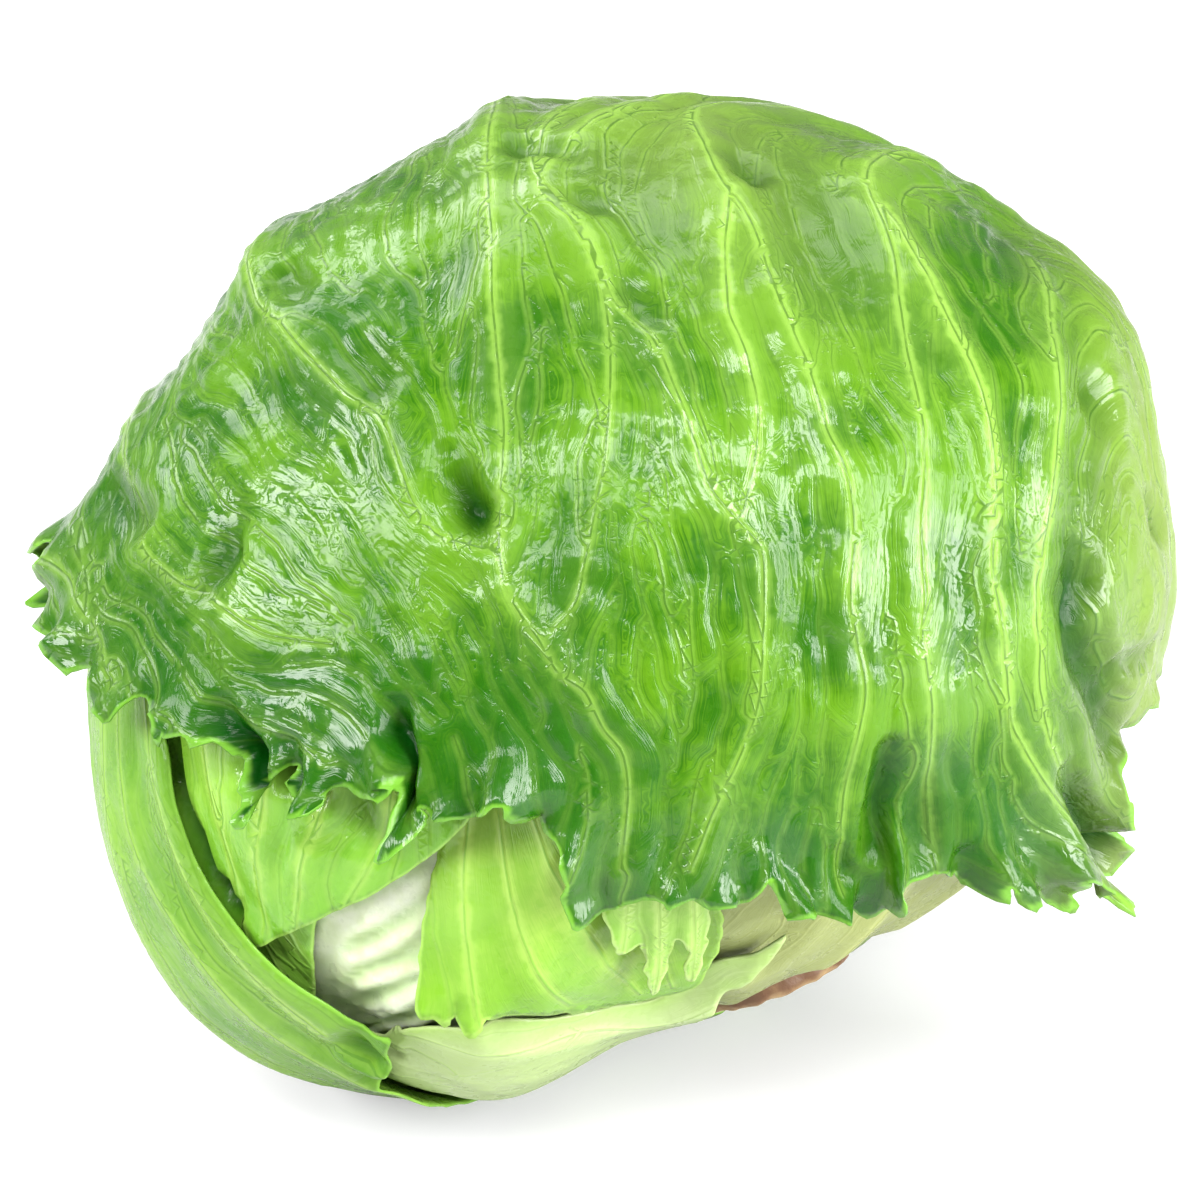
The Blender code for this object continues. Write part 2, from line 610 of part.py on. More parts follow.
def make_leaves():
    """The leaves from the outermost inwards."""
    cap = Leaf("cap_leaf", (178, 60), CAP_SEEN, CAP_BASE, CAP_HIDDEN, level=2.2 * MM,
               relief=CAP_RELIEF, hidden_relief=CAP_HIDDEN_RELIEF, tooth=1.3 * MM,
               wave=1.6 * MM, edge=2.4 * MM, inside=8 * MM, seed=5)
    left = Leaf("left_leaf", (262, -38), LEFT_SEEN, LEFT_BASE, relief=LEFT_RELIEF,
                hidden_relief=LEFT_HIDDEN_RELIEF, thickness=1.4 * MM, edge=4 * MM, inside=9.5 * MM)
    right = Leaf("right_leaf", (72, -28), RIGHT_SEEN, RIGHT_BASE, thickness=1.4 * MM,
                 edge=4 * MM, inside=7 * MM)
    fold = Leaf("fold_leaf", (300, -12), FOLD_SEEN, level=-1.6 * MM, inside=7 * MM)
    front = Leaf("front_leaf", (352, -36), FRONT_SEEN, level=-0.4 * MM, tooth=0.8 * MM,
                 edge=2.4 * MM, inside=6 * MM, seed=8)
    frayed = Leaf("frayed_leaf", (12, -34), FRAYED_SEEN, level=0.6 * MM, edge=1.8 * MM, inside=5 * MM)
    tuck = Leaf("tuck_leaf", (310, -34), TUCK_SEEN, level=-4.5 * MM, inside=6 * MM)
    under = Leaf("under_leaf", (345, -58), UNDER_SEEN, UNDER_BASE, thickness=1.4 * MM, inside=7 * MM)
    order = [cap, left, fold, frayed, front, tuck, under, right]
    for k, leaf in enumerate(order):
        leaf.above = order[:k]
    return order


COLOURS = {
    "cap_leaf": (124, 185, 58), "left_leaf": (167, 213, 104), "right_leaf": (190, 208, 150),
    "fold_leaf": (199, 235, 141), "front_leaf": (175, 218, 109), "frayed_leaf": (190, 226, 130),
    "tuck_leaf": (150, 197, 92), "under_leaf": (214, 234, 176), "heart": (227, 245, 202),
    "stem": (206, 196, 150),
}


def cut_away(target, cutter):
    """Takes the cutter's shape out of the target, and hides the cutter."""
    modifier = target.modifiers.new("socket", "BOOLEAN")
    modifier.operation = "DIFFERENCE"
    modifier.object = cutter
    cutter.hide_render = True
    cutter.display_type = "WIRE"


def main():
    for old in list(bpy.data.objects):
        bpy.data.objects.remove(old)
    finish = {name: plain_material(name, colour, 0.4) for name, colour in COLOURS.items()}
    leaves = make_leaves()
    for leaf in leaves:
        add_object(leaf.name, *leaf_solid(leaf), finish[leaf.name])
    heart = add_object("heart", *heart_solid(leaves), finish["heart"])
    add_object("stem", *stem_solid(), finish["stem"])
    socket = add_object("stem_socket", *stem_solid(grown=STEM_GAP, above=9 * MM), finish["stem"])
    cut_away(heart, socket)


main()
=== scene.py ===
"""The looks of an iceberg lettuce head, lying on its left underside.

Every leaf is a thin sheet over the rounded form of the head. Its outline, ribs and folds are given
on a drawing of the head as seen from the front, from a little above, and by compass and height
angles where that view doesn't reach. Finer veins run along with the ribs, and are worked out here.
"""

import itertools
import math
import random

import bpy
import numpy as np
from mathutils import Matrix, Vector, noise
from mathutils.geometry import delaunay_2d_cdt
from mathutils.kdtree import KDTree


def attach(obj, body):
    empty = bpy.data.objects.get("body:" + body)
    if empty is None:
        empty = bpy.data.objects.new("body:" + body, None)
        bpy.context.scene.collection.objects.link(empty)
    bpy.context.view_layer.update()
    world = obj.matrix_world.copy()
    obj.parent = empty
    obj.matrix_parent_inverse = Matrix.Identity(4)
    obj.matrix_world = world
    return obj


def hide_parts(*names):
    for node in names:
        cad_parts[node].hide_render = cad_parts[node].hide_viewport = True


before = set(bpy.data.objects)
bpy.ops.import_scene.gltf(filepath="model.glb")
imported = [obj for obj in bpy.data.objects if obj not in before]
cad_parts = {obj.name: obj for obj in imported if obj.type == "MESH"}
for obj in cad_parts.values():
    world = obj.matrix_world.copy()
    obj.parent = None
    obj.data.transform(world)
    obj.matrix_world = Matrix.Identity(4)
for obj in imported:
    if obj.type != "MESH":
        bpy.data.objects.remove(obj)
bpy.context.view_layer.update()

MM = 0.001

# The head's sizes. A leaf is thinner within THINNING of its margin. The gaps are those between a
# leaf and what lies under it, and round the stem.
HEAD_WIDTH = 165 * MM
FLOOR_BELOW_CENTRE = 73.5 * MM
CENTRE_RIGHT = 3.1 * MM
CENTRE_BACK = -6.4 * MM
FRONT_DEPTH = 66 * MM
BACK_DEPTH = 88 * MM
LEAF_THICKNESS = 1.1 * MM
MARGIN_THICKNESS = 0.4 * MM
THINNING = 7 * MM
GAP = 0.7 * MM
STEM_RADIUS = 13.5 * MM
STEM_GAP = 0.5 * MM
STEM_PROUD = -0.3 * MM
STEM_DEPTH = 24 * MM
STEM_EASING = 0.12
HEART_LEVEL = -6.5 * MM
MEAN_RADIUS = HEAD_WIDTH / 2

# How a lower leaf may rise past the margin of the leaf over it: its slope there, how far past it
# the rise starts, how far it goes on, and the slope beyond that, where nothing holds the leaf down.
RISE = 0.3
YIELD_MARGIN = 1.5 * MM
YIELD_REACH = 16 * MM
FREE_RISE = 40

# The fine relief: how far a margin's stand-off reaches, the width and height of a rib's crest, the
# width of the grooves at the veins, and the sizes of swells, crinkles and patches of tone. A share
# of it stays where the leaf over it leaves no more room than PRESSED, and all of it from FREE on.
FLARE = 14 * MM
CREST_WIDTH = 2.4 * MM
CREST_HEIGHT = 0.7 * MM
GROOVE = 1.4 * MM
SWELL_SIZE = 13 * MM
CRINKLE_SIZE = 4.5 * MM
PATCH_SIZE = 24 * MM
PRESSED_SHARE = 0.12
PRESSED = 0.2 * MM
FREE = 2.2 * MM

# The pitches of a hidden margin's waves and the steps between teeth, in mm, and the share of their
# full height that teeth have and that the notches between them go inwards.
WAVES = (31, 17, 11)
TOOTH_STEPS = (1.2, 4.2)
TOOTH_HEIGHTS = (0.2, 1.0)
TOOTH_NOTCH = -0.25

# How much of its height a rib has lost at its tip, the steps at which an outline is kept, and a
# little more than half a step.
RIB_FADE = 0.8
GUARD_STEP = 1.5 * MM
GUARD_HALF = 0.8 * MM

# How the triangles grow with the distance from the margin, and towards the back.
GROWTH = 0.1
FAR_SIDE_GROWTH = 0.55

# The margin's ruffles: pitches in mm with their shares of the height, how far in from the margin
# they reach and fall off, and the distances from the leaf's base between which they fade away.
RUFFLES = ((23, 0.7), (12.5, 1.0), (7.5, 0.6))
RUFFLE_REACH = 14 * MM
RUFFLE_FALL = 4.5 * MM
CALM = (35 * MM, 60 * MM)

# The drawing that outlines are given on: its scale, its tilt below the horizon and the distance
# of the eye that sees it. Positions on it are in its own pixels, x to the right and y down.
DRAWING_SIZE = 1200
HEAD_WIDTH_PX = 1090
PX = HEAD_WIDTH / HEAD_WIDTH_PX
DRAWING_CENTRE = (600, 600)
HEAD_CENTRE = (625, 603)
VIEW_TILT = math.radians(28)
VIEW_DISTANCE = 1.0

# Where a line of sight is tried, in metres in front of the head's middle.
SIGHT = np.linspace(0.1, -0.02, 241)

RIGHT = np.array([1.0, 0.0, 0.0])
UP = np.array([0.0, math.sin(VIEW_TILT), math.cos(VIEW_TILT)])
TOWARDS = np.array([0.0, -math.cos(VIEW_TILT), math.sin(VIEW_TILT)])
CENTRE = np.array([CENTRE_RIGHT, CENTRE_BACK, FLOOR_BELOW_CENTRE])

# The head's outline on the drawing: its radius every 15 degrees, anticlockwise from the right.
OUTLINE = np.array([
    79.6, 81.4, 85, 80.2, 77, 75, 73, 74.5, 73, 75.4, 74, 77.4,
    81, 84.5, 88.5, 89.5, 84.6, 78, 66, 63.5, 63, 64.5, 68.5, 74,
]) * MM

# The stem's way out of the head, as compass and height angles, and the opening's middle.
STEM_WAY = (50, -62)
OPENING_WAY = (326, -34)

# The underside's fullness, where the head sits down: compass and height angles, reach and rise.
SEAT = (165, -77, 46 * MM, 7.5 * MM)


def unit(v):
    v = np.asarray(v, float)
    return v / np.linalg.norm(v, axis=-1, keepdims=True)


def compass(azimuth, elevation):
    """The direction at that angle round from the front towards the right, and above the horizon."""
    a, e = np.radians(azimuth), np.radians(elevation)
    return np.stack([np.sin(a) * np.cos(e), -np.cos(a) * np.cos(e), np.sin(e)], -1)


def smooth_closed(values, at):
    """A closed Catmull-Rom curve through values, read at positions counted in values."""
    values = np.asarray(values, float)
    n = len(values)
    i = np.floor(at).astype(int)
    f = at - i
    if values.ndim > 1:
        f = f[:, None]
    a, b, c, d = (values[(i + k) % n] for k in (-1, 0, 1, 2))
    return b + 0.5 * f * (c - a + f * (2 * a - 5 * b + 4 * c - d + f * (3 * (b - c) + d - a)))


def smooth_open(values, step):
    """A Catmull-Rom curve through values, as points about a step apart."""
    values = np.asarray(values, float)
    padded = np.vstack([2 * values[0] - values[1], values, 2 * values[-1] - values[-2]])
    made = []
    for a, b, c, d in zip(padded, padded[1:], padded[2:], padded[3:]):
        count = max(1, round(np.linalg.norm(c - b) / step))
        f = (np.arange(count) / count)[:, None]
        made.append(b + 0.5 * f * (c - a + f * (2 * a - 5 * b + 4 * c - d + f * (3 * (b - c) + d - a))))
    return np.vstack(made + [values[-1:]])


def ramp(value, low, high):
    """0 below low, 1 above high, and smooth between them."""
    t = np.clip((value - low) / (high - low), 0, 1)
    return t * t * (3 - 2 * t)


def dome(distance, reach):
    """1 at distance 0, falling smoothly to 0 at reach."""
    t = np.clip(distance / reach, 0, 1)
    return (1 - t * t) ** 2


def arc_length(d, towards):
    """The distance over the head's surface between directions, for its mean radius."""
    return np.arccos(np.clip(d @ towards, -1, 1)) * MEAN_RADIUS


def form(d):
    """The radius of the head's rounded form in each direction, before any leaf's own relief."""
    x, u, w = d @ RIGHT, d @ UP, d @ TOWARDS
    around = np.mod(np.arctan2(u, x), 2 * np.pi) / (2 * np.pi) * len(OUTLINE)
    rho = smooth_closed(OUTLINE, around)
    depth = np.where(w > 0, FRONT_DEPTH, BACK_DEPTH)
    radius = 1 / np.sqrt((x * x + u * u) / rho**2 + (w / depth) ** 2)
    azimuth, elevation, reach, rise = SEAT
    return radius + rise * dome(arc_length(d, compass(azimuth, elevation)), reach)


def above_floor(d, radius, lift=0.0):
    """The radius cut back to the floor that the head sits on."""
    down = np.maximum(-d[:, 2], 1e-9)
    return np.minimum(radius, (FLOOR_BELOW_CENTRE - lift) / down)


def along_path(d, path):
    """The distance over the surface to a path of directions, the place on it, in points, and the
    way across it there."""
    best = np.full(len(d), np.inf)
    place = np.zeros(len(d))
    across = np.zeros_like(d)
    for k, (a, b) in enumerate(zip(path[:-1], path[1:])):
        along = b - a
        t = np.clip((d - a) @ along / (along @ along), 0, 1)
        gap = np.linalg.norm(d - a - t[:, None] * along, axis=1)
        nearer = gap < best
        place[nearer] = k + t[nearer]
        across[nearer] = np.cross(along, d[nearer])
        best[nearer] = gap[nearer]
    return best * MEAN_RADIUS, place, unit(across + 1e-12)


def seen(points, radius_of):
    """The directions in which a surface lies behind points of the drawing."""
    points = np.asarray(points, float)
    flat = (points - DRAWING_CENTRE) * PX * (1, -1)
    shift = (np.array(DRAWING_CENTRE) - HEAD_CENTRE) * PX * (1, -1)
    scale = 1 - SIGHT / VIEW_DISTANCE
    at = (
        (shift[0] + flat[:, None, 0] * scale)[..., None] * RIGHT
        + (shift[1] + flat[:, None, 1] * scale)[..., None] * UP
        + (SIGHT * np.ones_like(flat[:, :1]))[..., None] * TOWARDS
    )
    size = np.linalg.norm(at, axis=2)
    outside = size - radius_of(unit(at).reshape(-1, 3)).reshape(size.shape)
    found = []
    for row, gaps in zip(at, outside):
        hit = np.nonzero(gaps < 0)[0]
        k = hit[0] if len(hit) else int(np.argmin(gaps))
        if len(hit) and k:
            f = gaps[k - 1] / (gaps[k - 1] - gaps[k])
            found.append(row[k - 1] + f * (row[k] - row[k - 1]))
        else:
            found.append(row[k])
    return unit(found)


def off_the_stem(d):
    """Directions moved, where they fall on the stem, to just outside it."""
    axis = compass(*STEM_WAY)
    reach = math.asin((STEM_RADIUS + STEM_GAP) / form(axis[None])[0])
    angle = np.arccos(np.clip(d @ axis, -1, 1))
    wanted = np.maximum(angle, reach + STEM_EASING * angle)
    across = unit(d - (d @ axis)[:, None] * axis + 1e-12)
    return np.cos(wanted)[:, None] * axis + np.sin(wanted)[:, None] * across


def from_stem(d):
    """The distance over the surface from each direction to the stem's side."""
    axis = compass(*STEM_WAY)
    return arc_length(d, axis) - MEAN_RADIUS * math.asin(STEM_RADIUS / form(axis[None])[0])


def ripples(points, wavelength, seed):
    """Smooth noise between about -1 and 1 at each point, with features of that size."""
    moved = points / wavelength + 17.3 * seed
    return np.array([noise.noise(p) for p in moved.tolist()]) * 1.6


class Places:
    """Places over the surface, and the nearest of them to any direction."""

    def __init__(self, ways):
        self.tree = KDTree(len(ways))
        for k, p in enumerate((ways * MEAN_RADIUS).tolist()):
            self.tree.insert(p, k)
        self.tree.balance()

    def nearest(self, d):
        found = [self.tree.find(p) for p in (d * MEAN_RADIUS).tolist()]
        return np.array([f[1] for f in found]), np.array([f[2] for f in found])


class Crease:
    """A rib, fold or hollow: a half width, the path that it runs along and its heights there. Its
    crest can lean over to the right of its path, as seen from outside."""

    def __init__(self, width, path, heights, lean=0.0):
        self.width = width
        self.path = path
        self.heights = np.array(heights)
        self.lean = lean
        self.middle = unit(path.mean(axis=0))
        spread = np.arccos(np.clip(path @ self.middle, -1, 1)).max()
        self.reach = min(spread + 1.3 * width / MEAN_RADIUS, math.pi)

    def relief(self, d):
        """Which of the directions lie near it, its height there and the way across it."""
        rows = np.nonzero(d @ self.middle > math.cos(self.reach))[0]
        distance, place, across = along_path(d[rows], self.path)
        height = np.interp(place, np.arange(len(self.path)), self.heights)
        return rows, height * dome(distance, self.width), across


class Leaf:
    """A leaf's place, outline and relief.

    seen_margin holds the outline's points on the drawing. base_margin and hidden_margin hold those
    near the stem and round the back, as compass and height angles. Each has a third number, the
    millimetres by which the margin stands off there. The outline runs through the three lists in
    turn, and waves along the third.
    A rib is a half width, a height, its points round the back and its points on the drawing, from
    the leaf's base to its tip. A fold is a half width, a lean and its points on the drawing, each
    with a height.
    """

    def __init__(self, name, middle, seen_margin, base_margin=(), hidden_margin=(), level=0.0,
                 ribs=(), folds=(), tooth=0.0, wave=0.0, ruffle=0.0, crinkle=0.35 * MM,
                 quilt=0.5 * MM, edge=0.9 * MM, inside=1.1 * MM, vein_gap=4 * MM, linked=True,
                 bases=((0, -90),), base_reach=0.0, pale=(60, 120), seed=1):
        self.name = name
        self.level = level
        self.tooth = tooth
        self.wave = wave
        self.ruffle = ruffle
        self.crinkle = crinkle
        self.quilt = quilt
        self.edge = edge
        self.inside = inside
        self.linked = linked
        self.bases = [compass(*way) for way in bases]
        self.base_reach = base_reach
        self.pale = pale
        self.seed = seed
        self.middle = compass(*middle)
        side = unit(np.cross([0.0, 0.0, 1.0], self.middle))
        self.axes = np.stack([side, np.cross(self.middle, side)])
        self.ribs = [self.rib(*given) for given in ribs]
        self.folds = [self.fold(*given) for given in folds]
        self.control = self.control_points(seen_margin, base_margin, hidden_margin)
        self.guard, self.guard_lift = self.border(GUARD_STEP)
        self.guard_way = self.unflatten(self.guard)
        self.guard_along = unit(np.roll(self.guard_way, -1, axis=0) - np.roll(self.guard_way, 1, axis=0))
        out = self.unflatten(self.guard + 1e-3 * self.outward(self.guard)) - self.guard_way
        self.guard_out = unit(out)
        self.guard_places = Places(self.guard_way)
        self.lines = Lines(self, vein_gap)

    def rib(self, width, height, back, front):
        path = [compass(*p) for p in back]
        if front:
            path += list(seen(front, lambda d: form(d) + self.level))
        path = unit(smooth_open(path, 4 * MM / MEAN_RADIUS))
        share = np.linspace(0, 1, len(path))
        return Crease(width * MM, path, height * MM * (1 - RIB_FADE * share**2))

    def fold(self, width, lean, points):
        path = seen([p[:2] for p in points], lambda d: form(d) + self.level)
        return Crease(width * MM, path, [p[2] * MM for p in points], lean)

    def control_points(self, seen_margin, base_margin, hidden_margin):
        """The outline's points: place on the plane, stand-off, and whether it waves there."""
        control = []
        for x, y, lift in seen_margin:
            at = seen([(x, y)], lambda d, lift=lift: self.bare(d) + lift * MM)
            control.append((*self.flatten(at)[0], lift * MM, 0))
        for margin, waved in ((base_margin, 0), (hidden_margin, 1)):
            for azimuth, elevation, lift in margin:
                at = self.flatten(compass(azimuth, elevation)[None])[0]
                control.append((*at, lift * MM, waved))
        return np.array(control)

    def flatten(self, d):
        """Directions as places on a plane: a stereographic view from the leaf's middle."""
        return d @ self.axes.T * (2 / (1 + d @ self.middle))[:, None]

    def stretch(self, flat):
        """How much longer a short line is on that plane than over the unit sphere."""
        return 1 + np.sum(flat**2, axis=1) / 4

    def unflatten(self, flat):
        grown = self.stretch(flat)[:, None]
        return (2 - grown) / grown * self.middle + flat @ self.axes / grown

    def relief(self, d, shift=None):
        """The heights of the ribs and of the folds. The folds' lean is added to shift."""
        ribs, folds = np.zeros(len(d)), np.zeros(len(d))
        for crease in self.ribs:
            rows, height, _ = crease.relief(d)
            ribs[rows] += (height / MM) ** 4
        for crease in self.folds:
            rows, height, across = crease.relief(d)
            folds[rows] += height
            if shift is not None:
                shift[rows] += across * (height * crease.lean)[:, None]
        return ribs**0.25 * MM, folds

    def bare(self, d):
        """The radius of the outer face, without its margin's stand-off."""
        ribs, folds = self.relief(d)
        return form(d) + self.level + ribs + folds

    def border(self, step):
        """The outline at even steps: places on the plane, and the margin's stand-off."""
        fine = smooth_closed(self.control, np.arange(0, len(self.control), 0.02))
        chord = self.unflatten(fine[:, :2])
        gaps = np.linalg.norm(chord - np.roll(chord, -1, axis=0), axis=1) * MEAN_RADIUS
        run = np.concatenate([[0], np.cumsum(gaps)])
        count = round(run[-1] / step)
        at = np.linspace(0, run[-1], count, endpoint=False)
        closed = np.vstack([fine, fine[:1]])
        x, y, lift, hidden = (np.interp(at, run, closed[:, k]) for k in range(4))
        flat = np.stack([x, y], 1)
        rng = np.random.default_rng(self.seed)
        turns = [round(run[-1] / (pitch * MM)) for pitch in WAVES]
        sines = [np.sin(2 * np.pi * (n * at / run[-1] + rng.random())) for n in turns]
        out = self.wave * hidden * (sines[0] + 0.6 * sines[1] + 0.4 * sines[2])
        lift = lift + self.wave * hidden * (0.8 * sines[1] + 0.6 * sines[2] + 1.0)
        return flat + self.outward(flat) * (out / MEAN_RADIUS * self.stretch(flat))[:, None], lift

    def outward(self, flat):
        """The plane's directions out of the outline at its points."""
        ahead = np.roll(flat, -1, axis=0) - np.roll(flat, 1, axis=0)
        beyond = np.roll(flat, -1, axis=0)
        area = np.sum(flat[:, 0] * beyond[:, 1] - flat[:, 1] * beyond[:, 0])
        return np.sign(area) * unit(np.stack([ahead[:, 1], -ahead[:, 0]], 1))

    def contains(self, flat, outline):
        """Whether places on the plane lie inside an outline."""
        order = np.argsort(flat[:, 1])
        x, y = flat[order].T
        crossings = np.zeros(len(flat), bool)
        for a, b in zip(outline, np.roll(outline, -1, axis=0)):
            low, high = np.searchsorted(y, (min(a[1], b[1]), max(a[1], b[1])))
            if low < high:
                slope = (b[0] - a[0]) / (b[1] - a[1])
                crossings[low:high] ^= x[low:high] < slope * (y[low:high] - a[1]) + a[0]
        inside = np.zeros(len(flat), bool)
        inside[order] = crossings
        return inside

    def from_margin(self, d):
        """The distance over the surface from each direction to the outline."""
        k, distance = self.guard_places.nearest(d)
        along = np.sum((d - self.guard_way[k]) * self.guard_along[k], axis=1) * MEAN_RADIUS
        along = np.minimum(np.abs(along), GUARD_HALF)
        return np.sqrt(np.maximum(distance**2 - along**2, 0))

    def blend_of(self, d, values, blur):
        """Values at the outline's points, blended by nearness, in each direction."""
        made = np.zeros((len(d), values.shape[1]))
        for start in range(0, len(d), 4000):
            rows = slice(start, start + 4000)
            square = 2 - 2 * d[rows] @ self.guard_way.T
            weight = 1 / (square + (blur / MEAN_RADIUS) ** 2) ** 2
            made[rows] = weight @ values / weight.sum(axis=1)[:, None]
        return made

    def ruffled(self, d, distance):
        """How far the margin's ruffles move each place: out from the head and along the margin."""
        count = len(self.guard_way)
        run = np.arange(count) / count
        rng = np.random.default_rng(self.seed + 40)
        length = count * GUARD_STEP / MM
        out, sway = np.zeros(count), np.zeros(count)
        for pitch, share in RUFFLES:
            turns = round(length / pitch)
            drift = 0.12 * np.sin(2 * np.pi * (3 * run + rng.random()))
            phase = 2 * np.pi * (turns * run + rng.random() + drift)
            out += share * np.sin(phase)
            sway += share * np.sin(2 * phase + 1.0)
        moved = self.guard_way * (0.9 + out)[:, None] + self.guard_along * (0.45 * sway)[:, None]
        moved *= ramp(arc_length(self.guard_way, self.bases[-1]), *CALM)[:, None]
        rows = np.nonzero(distance < RUFFLE_REACH)[0]
        total = np.zeros_like(d)
        fall = np.exp(-(distance[rows] / RUFFLE_FALL) ** 1.5)
        total[rows] = self.blend_of(d[rows], moved * self.ruffle, 1.2 * MM) * fall[:, None]
        return total


class Lines:
    """A leaf's ribs and finer veins, and each direction's place among them."""

    STEP = 1.3 * MM
    SAMPLE = 0.5 * MM
    MOST_STEPS = 100
    LEAST_POINTS = 6
    LINK_STEPS = 9
    BLENDING = 4 * MM
    JOINING = 0.4
    CROWDED = 0.85
    VEIN_POWERS = (0.3, 0.45, 0.6, 0.85)
    LINK_POWERS = (0.1, 0.15, 0.25)

    def __init__(self, leaf, gap):
        self.leaf = leaf
        self.gap = gap
        ribs = [smooth_open(crease.path, 1.5 * MM / MEAN_RADIUS) for crease in leaf.ribs]
        coarse = [rib[::3] for rib in ribs]
        self.guide = np.vstack(coarse) * MEAN_RADIUS
        self.guide_heads = np.vstack([unit(np.gradient(rib, axis=0)) for rib in coarse])
        self.cells = {}
        self.rng = random.Random(leaf.seed)
        for rib in ribs:
            for p in rib.tolist():
                self.occupy(Vector(p) * MEAN_RADIUS)
        veins = self.grow(ribs)
        self.index(ribs, veins, self.links(veins))

    def occupy(self, p):
        key = tuple(int(c // self.gap) for c in p)
        self.cells.setdefault(key, []).append(p)

    def crowding(self, p, limit):
        """The nearest occupied point within the limit, if there is one."""
        found, best = None, limit
        key = [int(c // self.gap) for c in p]
        for near in itertools.product(*((k - 1, k, k + 1) for k in key)):
            for q in self.cells.get(near, ()):
                gap = (q - p).length
                if gap < best:
                    found, best = q, gap
        return found

    def heading(self, p):
        """The way of the ribs' flow at a point, with a slow waver."""
        apart = self.guide - np.array(p)
        weight = (np.einsum("ij,ij->i", apart, apart) + self.BLENDING**2) ** -1.5
        total = Vector(weight @ self.guide_heads)
        out = p.normalized()
        total -= total.dot(out) * out
        total.normalize()
        waver = 0.62 * noise.noise(p * 85) + 0.4 * noise.noise(p * 240)
        return total * math.cos(waver) + out.cross(total) * math.sin(waver)

    def within(self, p):
        _, k, _ = self.leaf.guard_places.tree.find(p)
        away = p - Vector(self.leaf.guard_way[k]) * MEAN_RADIUS
        return away.dot(Vector(self.leaf.guard_out[k])) < 0.5 * MM

    def trace(self, seed, sign):
        """The points of a vein from a seed, until it leaves the leaf or joins another."""
        points = []
        p = seed
        for _ in range(self.MOST_STEPS):
            p = (p + sign * self.STEP * self.heading(p)).normalized() * MEAN_RADIUS
            if not self.within(p):
                break
            other = self.crowding(p, self.JOINING * self.gap)
            points.append(other if other else p)
            if other:
                break
        return points

    def grow(self, ribs):
        """Veins at about even gaps, each seeded beside a line that is already there."""
        queue = [Vector(p) * MEAN_RADIUS for rib in ribs for p in rib[::2].tolist()]
        veins = []
        at = 0
        while at < len(queue):
            p = queue[at]
            at += 1
            beside = p.normalized().cross(self.heading(p))
            for sign in (-1, 1):
                apart = self.gap * self.rng.uniform(0.9, 1.3)
                seed = (p + beside * sign * apart).normalized() * MEAN_RADIUS
                if not self.within(seed) or self.crowding(seed, self.CROWDED * self.gap):
                    continue
                line = self.trace(seed, -1)[::-1] + [seed] + self.trace(seed, 1)
                if len(line) < self.LEAST_POINTS:
                    continue
                for q in line:
                    self.occupy(q)
                queue += line[1:-1:2]
                veins.append(line)
        return veins

    def links(self, veins):
        """Short slanting lines from some places on the veins to the next line."""
        made = []
        for vein in veins if self.leaf.linked else ():
            for p in vein[3:-3:self.rng.choice((12, 15, 19))]:
                turn = self.rng.choice((-1, 1)) * self.rng.uniform(0.5, 0.9)
                line = [p]
                for k in range(self.LINK_STEPS):
                    head = self.heading(line[-1])
                    across = line[-1].normalized().cross(head)
                    way = head * math.cos(turn) + across * math.sin(turn)
                    q = (line[-1] + way * 0.5 * self.STEP).normalized() * MEAN_RADIUS
                    other = self.crowding(q, 0.5 * self.STEP) if k > 2 else None
                    line.append(other if other else q)
                    if other or not self.within(q):
                        break
                made.append(line)
        return made

    def index(self, ribs, veins, links):
        """Keeps fine samples of all lines, with their way and strength, for the look-up."""
        lines = [(rib, 1.0) for rib in ribs]
        for group, powers in ((veins, self.VEIN_POWERS), (links, self.LINK_POWERS)):
            for line in group:
                lines.append(([tuple(p / MEAN_RADIUS) for p in line], self.rng.choice(powers)))
        at, way, power = [], [], []
        for line, strength in lines:
            line = unit(smooth_open(line, self.SAMPLE / MEAN_RADIUS))
            at.append(line)
            way.append(unit(np.gradient(line, axis=0)))
            power.append(np.full(len(line), strength))
        self.at, self.way, self.power = np.vstack(at), np.vstack(way), np.concatenate(power)
        self.places = Places(self.at)
        self.main_places = Places(np.vstack(at[:len(ribs) + len(veins)]))
        self.rib_places = Places(np.vstack(at[:len(ribs)]))
        shares = [np.linspace(0, 1, len(line)) for line in at[:len(ribs)]]
        self.rib_power = 1 - RIB_FADE * np.concatenate(shares) ** 2

    def read(self, d):
        """For each direction the signed (side) and plain (near) distance to the nearest line and its
        power, the distance to the nearest line that isn't a link (main), and that to the nearest rib
        and its strength there."""
        k, near = self.places.nearest(d)
        across = np.cross(self.way[k], self.at[k])
        side = np.sum((d - self.at[k]) * across, axis=1) * MEAN_RADIUS
        j, rib_gap = self.rib_places.nearest(d)
        main = self.main_places.nearest(d)[1]
        return {"side": side, "near": near, "power": self.power[k], "main": main, "rib": rib_gap,
                "strength": self.rib_power[j]}


def toothed(leaf, flat, step):
    """The outline with small pointed teeth, at seeded random steps."""
    rng = np.random.default_rng(leaf.seed)
    knots = np.cumsum(rng.uniform(*TOOTH_STEPS, len(flat))) * MM
    heights = rng.uniform(*TOOTH_HEIGHTS, len(flat))
    heights[::2] *= TOOTH_NOTCH
    out = np.interp(np.arange(len(flat)) * step, knots, heights) * leaf.tooth
    return flat + leaf.outward(flat) * (out / MEAN_RADIUS * leaf.stretch(flat))[:, None]


